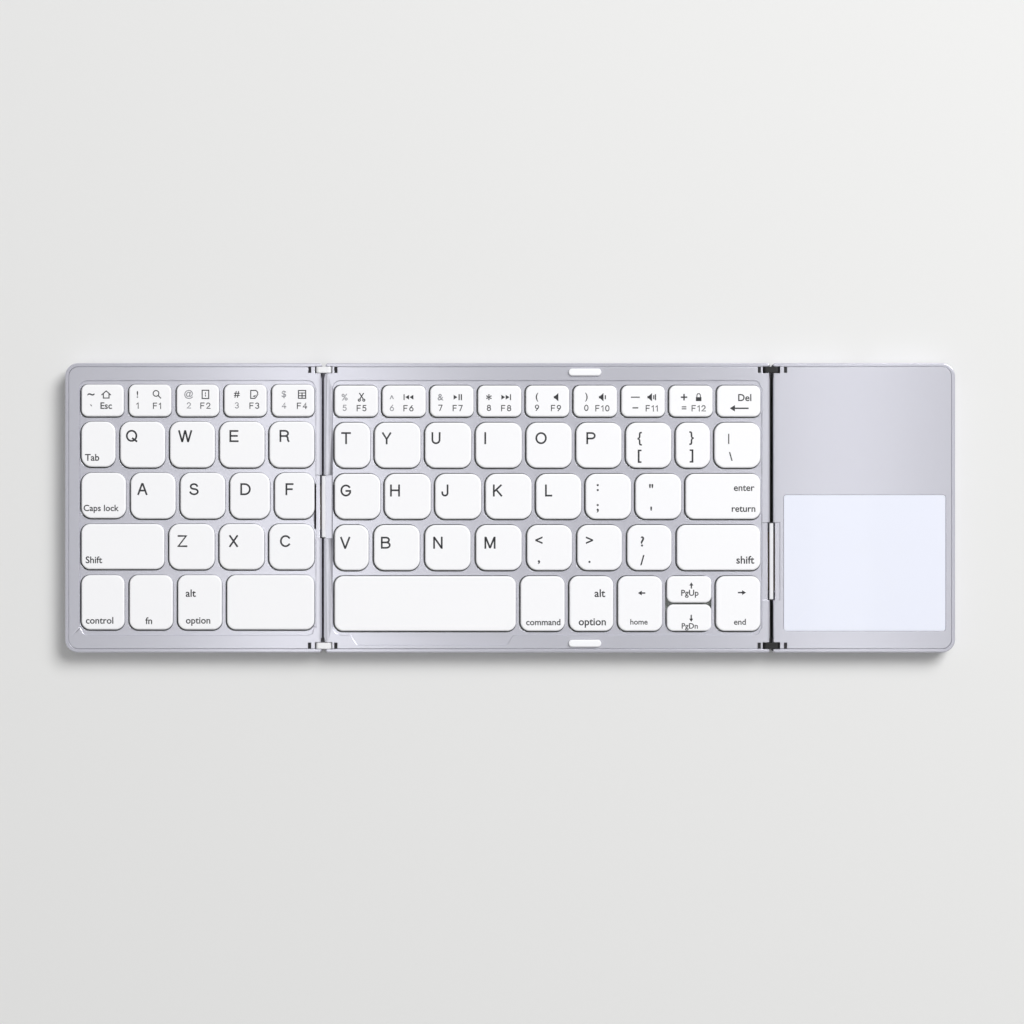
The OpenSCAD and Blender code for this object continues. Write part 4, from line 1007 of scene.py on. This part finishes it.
def printLegends():
    scribe = makeScribe()
    drawn = {}
    for node, caps in legends.items():
        inks = {"legend_ink": bmesh.new(), "pale_ink": bmesh.new()}
        for (low, high), marks in zip(keyBoxes[node], caps):
            for mark, across, front, height in marks:
                if mark not in drawn:
                    drawn[mark] = drawSign(signs[mark]) if mark in signs else drawText(scribe, mark)
                mesh = drawn[mark].copy()
                scale = height * mm / (1 if mark in signs else legend["capShare"])
                spans = [[vertex.co[axis] for vertex in mesh.vertices] for axis in (0, 1)]
                middle = [(min(span) + max(span)) / 2 for span in spans]
                edge = low.x if across > 0 else high.x
                place = Matrix.Translation((edge + across * mm, high.y - front * mm, high.z))
                size = Matrix.Diagonal((scale, scale, legend["rise"] * mm, 1))
                mesh.transform(place @ size @ Matrix.Translation((-middle[0], -middle[1], 0)))
                inks["pale_ink" if mark in paleMarks else "legend_ink"].from_mesh(mesh)
                bpy.data.meshes.remove(mesh)
        for ink, joined in inks.items():
            bmesh.ops.remove_doubles(joined, verts=joined.verts, dist=weldGap)
            mesh = meshFrom(joined, "legend")
            if mesh.vertices:
                newPiece(ink.split("_")[0] + "." + node, mesh, node, "keycap_white", ink)
    bpy.data.objects.remove(scribe)


printLegends()
print("legends printed:", len(legends))


# Touchpad, bumper pads and feet

foot = {"corner": 2.3, "edge": 0.35, "finish": "foot_rubber", "flipped": True}
slabs = {
    "touchpad": {"corner": 0.9, "edge": 0.12, "finish": "touch_surface"},
    "bumper_pads": {"corner": 1.25, "edge": 0.4, "finish": "pad_rubber"},
    "left_feet": foot,
    "middle_feet": foot,
    "right_feet": foot,
}


def dressSlabs():
    for node, look in slabs.items():
        mesh = roundedCaps(solidBoxes(node), look["corner"], look["edge"], look["finish"],
                           flipped=look.get("flipped", False))
        newPiece("soft." + node, mesh, bodyOf[node], look["finish"], stands=[node])


dressSlabs()
print("touchpad, pads and feet dressed")


# Hinges, covers and the parts inside, with broken edges

smallEdges = {
    "left_links": 0.12, "right_links": 0.12, "left_hinge_pins": 0.08, "right_hinge_pins": 0.08,
    "left_cable_cover": 0.1, "right_cable_cover": 0.1, "left_hinge_brackets": 0.08,
    "middle_hinge_brackets": 0.08, "right_hinge_brackets": 0.08, "charging_socket": 0.06,
    "battery": 0.4, "main_board": 0.05, "touchpad_board": 0.05, "left_key_plate": 0.05,
    "middle_key_plate": 0.05,
}


def dressSmallParts():
    for node, width in smallEdges.items():
        dressNode("made." + node, node, width, finish="link_steel" if node == "left_links" else None)
    for node in ("left_membrane", "middle_membrane"):
        cadNodes[node].data.materials.clear()
        cadNodes[node].data.materials.append(materials[slotOf[node]])


dressSmallParts()
print("hinges and inner parts dressed")


# Screws with a cross recess and a thread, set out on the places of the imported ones. The cross is
# a share of the head, the wire a share of the thread's step, and the thread's start and run are
# shares of the length.

screw = {"head": 2.8, "headTall": 0.5, "core": 1.1, "thread": 1.4, "cross": 0.32, "deep": 0.3,
         "clear": 0.12, "coreStart": 0.1, "crossShare": 0.62, "wireShare": 0.22, "threadStart": 0.15,
         "threadRun": 0.8, "turns": 9.0, "headSides": 28, "coreSides": 20, "turnSides": 18,
         "wireSides": 5}


def buildScrewTree():
    tree, start, end = newGeometryTree(
        "crossScrew", ["Head", "HeadTall", "Core", "Thread", "Length", "Cross", "Deep"])
    size = start.outputs
    half = lambda value: addMath(tree, "MULTIPLY", value, 0.5)

    def moved(geometry, x, y, z):
        place = addNode(tree, "ShaderNodeCombineXYZ", X=x, Y=y, Z=z)
        return addNode(tree, "GeometryNodeTransform", Geometry=geometry,
                       Translation=place.outputs["Vector"]).outputs["Geometry"]

    def share(value, name):
        return addMath(tree, "MULTIPLY", value, screw[name])

    disc = addNode(tree, "GeometryNodeMeshCylinder", Vertices=screw["headSides"],
                   Radius=half(size["Head"]), Depth=size["HeadTall"])
    head = moved(disc.outputs["Mesh"], 0.0, 0.0, half(size["HeadTall"]))
    long = share(size["Head"], "crossShare")
    bars = tree.nodes.new("GeometryNodeMeshBoolean")
    bars.operation = "DIFFERENCE"
    tree.links.new(head, bars.inputs["Mesh 1"])
    for x, y in ((long, size["Cross"]), (size["Cross"], long)):
        tall = addMath(tree, "MULTIPLY", size["Deep"], 2.0)
        bar = addNode(tree, "ShaderNodeCombineXYZ", X=x, Y=y, Z=tall)
        cube = addNode(tree, "GeometryNodeMeshCube", Size=bar.outputs["Vector"])
        tree.links.new(cube.outputs["Mesh"], bars.inputs["Mesh 2"])
    shank = addNode(tree, "GeometryNodeMeshCylinder", Vertices=screw["coreSides"],
                    Radius=half(size["Core"]), Depth=size["Length"])
    above = addMath(tree, "ADD", half(size["Length"]), screw["coreStart"] * mm)
    core = moved(shank.outputs["Mesh"], 0.0, 0.0, above)
    ridge = half(half(addMath(tree, "ADD", size["Core"], size["Thread"])))
    helix = addNode(tree, "GeometryNodeCurveSpiral", Resolution=screw["turnSides"],
                    Rotations=screw["turns"], Start_Radius=ridge, End_Radius=ridge,
                    Height=share(size["Length"], "threadRun"))
    step = addMath(tree, "SUBTRACT", size["Thread"], size["Core"])
    wire = addNode(tree, "GeometryNodeCurvePrimitiveCircle", Resolution=screw["wireSides"],
                   Radius=share(step, "wireShare"))
    tube = addNode(tree, "GeometryNodeCurveToMesh", Curve=helix.outputs["Curve"], Fill_Caps=True)
    tree.links.new(wire.outputs["Curve"], tube.inputs["Profile Curve"])
    thread = moved(tube.outputs["Mesh"], 0.0, 0.0, share(size["Length"], "threadStart"))
    whole = tree.nodes.new("GeometryNodeJoinGeometry")
    for part in (bars.outputs["Mesh"], core, thread):
        tree.links.new(part, whole.inputs["Geometry"])
    setOut(tree, start, end, whole.outputs["Geometry"])
    return tree


screwTree = buildScrewTree()


def dressScrews():
    for side in ("left", "middle", "right"):
        node = side + "_screws"
        boxes = solidBoxes(node)
        places = [((low.x + high.x) / 2, (low.y + high.y) / 2, low.z) for low, high in boxes]
        tall = (boxes[0][1].z - boxes[0][0].z) / mm
        sizes = {"Head": screw["head"], "HeadTall": screw["headTall"], "Core": screw["core"],
                 "Thread": screw["thread"], "Length": tall - screw["clear"],
                 "Cross": screw["cross"], "Deep": screw["deep"]}
        mesh = runTree(screwTree, places, sizes, "screw_steel")
        smoothFaces(mesh)
        newPiece("set." + node, mesh, bodyOf[node], "screw_steel", stands=[node])


dressScrews()
print("screws set")


# Lifts and domes under the keys, cut into one piece for each key above them


def giveWay(node, name):
    whole = weldedNode(node)
    islands = islandsOf(whole)
    for key in keyNodes:
        mine = []
        for island in islands:
            low, high = boxOf(island)
            x, y = (low.x + high.x) / 2, (low.y + high.y) / 2
            if any(a.x < x < b.x and a.y < y < b.y for a, b in keyBoxes[key]):
                mine.append(island)
        if not mine:
            continue
        part = bmesh.new()
        for island in mine:
            made = {vertex: part.verts.new(vertex.co) for vertex in island}
            for old in dict.fromkeys(polygon for vertex in island for polygon in vertex.link_faces):
                part.faces.new([made[vertex] for vertex in old.verts])
        mesh = meshFrom(part, name)
        smoothFaces(mesh)
        piece = newPiece(name + "." + key, mesh, bodyOf[node], slotOf[node], stands=[node])
        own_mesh(piece)
    whole.free()


for side in ("left", "middle"):
    giveWay(side + "_scissors", side + "Lift")
    giveWay(side + "_domes", side + "Dome")


# Flex cables. Each is made in two halves that meet between the pins, each laid from the top of the hinge
# down to its panel.

flex = {"thick": 0.15, "drop": 0.75, "tail": 2.2, "turn": 0.8, "rounds": 3}


# Each round cuts every corner of the route off, a quarter of the way along both its sides
def softenRoute(route, rounds):
    for _ in range(rounds):
        cut = [route[0]]
        for first, last in zip(route, route[1:]):
            cut += [first.lerp(last, 0.25), first.lerp(last, 0.75)]
        route = cut + [route[-1]]
    return route


def stripMesh(route, front, rear, thick):
    bm = bmesh.new()
    rings = []
    for number, point in enumerate(route):
        ahead = route[min(number + 1, len(route) - 1)] - route[max(number - 1, 0)]
        side = Vector((-ahead.y, ahead.x)).normalized() * thick / 2
        a, b = point + side, point - side
        corners = ((a, front), (a, rear), (b, rear), (b, front))
        rings.append([bm.verts.new((corner.x, y, corner.y)) for corner, y in corners])
    for first, last in zip(rings, rings[1:]):
        for k in range(4):
            n = (k + 1) % 4
            bm.faces.new([first[k], first[n], last[n], last[k]])
    bm.faces.new(rings[0])
    bm.faces.new(list(reversed(rings[-1])))
    bmesh.ops.recalc_face_normals(bm, faces=bm.faces)
    mesh = meshFrom(bm, "strip")
    smoothFaces(mesh)
    return mesh


def makeFlex(hinge, leftPanel, rightPanel, leftJoint, rightJoint, leftEnd, rightEnd):
    node = hinge + "_flex"
    low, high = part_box(node)
    middle = (low.x + high.x) / 2
    thick = flex["thick"] * mm
    reach = (high.x - low.x) / 2
    bend = reach - (flex["tail"] + flex["drop"]) * mm
    fall = reach - flex["tail"] * mm
    top = high.z - thick / 2
    halves = ((-1, leftPanel, leftJoint, leftEnd), (1, rightPanel, rightJoint, rightEnd))
    for way, panel, joint, end in halves:
        under = end + thick / 2
        route = [Vector((middle, top)), Vector((middle + way * bend * 0.5, top)),
                 Vector((middle + way * bend, top)),
                 Vector((middle + way * fall, under)), Vector((middle + way * reach, under))]
        mesh = stripMesh(softenRoute(route, flex["rounds"]), low.y, high.y, thick)
        mesh.materials.append(materials["flex_film"])
        name = "flex." + hinge + (".left" if way < 0 else ".right")
        mesh.name = name
        piece = bpy.data.objects.new(name, mesh)
        scene.collection.objects.link(piece)
        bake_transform(piece)
        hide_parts(node)


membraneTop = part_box("middle_membrane")[1].z
makeFlex("left", "left_panel", "middle_panel", "fold_left_outer", "fold_left_inner", membraneTop,
         membraneTop)
makeFlex("right", "middle_panel", "right_panel", "fold_right_inner", "fold_right_outer", membraneTop,
         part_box("right_flex")[0].z)
print("flex cables laid")


# Floor, lamp and surroundings

stage = {
    "floor": (233, 233, 232),
    "rough": 0.9,
    "gloss": 0.1,
    "size": 6000,
    "sky": 0.29,
    "lamps": {
        "key": {"place": (1003, 1077, 1635), "size": (1100, 1100), "power": 41.0},
        "fill": {"place": (-1000, -500, 1300), "size": (1200, 1200), "power": 2.1},
        "sheenLeft": {"place": (-147, 0, 1150), "size": (86, 900), "power": 0.5},
        "sheenRight": {"place": (242, 0, 1150), "size": (43, 900), "power": 0.32},
    },
}


# The sheen lamps face straight down, and their mirror images run across the deck, front to rear
def addLamp(name, look):
    data = bpy.data.lights.new(name, "AREA")
    data.shape = "RECTANGLE"
    data.size, data.size_y = [length * mm for length in look["size"]]
    data.energy = look["power"]
    lamp = bpy.data.objects.new(name, data)
    scene.collection.objects.link(lamp)
    lamp.location = Vector(look["place"]) * mm
    if "sheen" not in name:
        lamp.rotation_euler = (-lamp.location).to_track_quat("-Z", "Y").to_euler()


def makeFloor():
    half = stage["size"] * mm / 2
    mesh = bpy.data.meshes.new("floor")
    corners = [(-half, -half, 0), (half, -half, 0), (half, half, 0), (-half, half, 0)]
    mesh.from_pydata(corners, [], [(0, 1, 2, 3)])
    floor = bpy.data.objects.new("floor", mesh)
    scene.collection.objects.link(floor)
    material = bpy.data.materials.new("floor")
    material.use_nodes = True
    shader = material.node_tree.nodes["Principled BSDF"]
    shader.inputs["Base Color"].default_value = tone(*stage["floor"])
    shader.inputs["Roughness"].default_value = stage["rough"]
    shader.inputs["Specular IOR Level"].default_value = stage["gloss"]
    mesh.materials.append(material)


def setLight():
    for name, look in stage["lamps"].items():
        addLamp(name, look)
    world = bpy.data.worlds.new("studio")
    scene.world = world
    world.use_nodes = True
    back = world.node_tree.nodes["Background"]
    back.inputs["Color"].default_value = (1, 1, 1, 1)
    back.inputs["Strength"].default_value = stage["sky"]


makeFloor()
setLight()
scene.view_settings.view_transform = "Standard"
print("stage set")
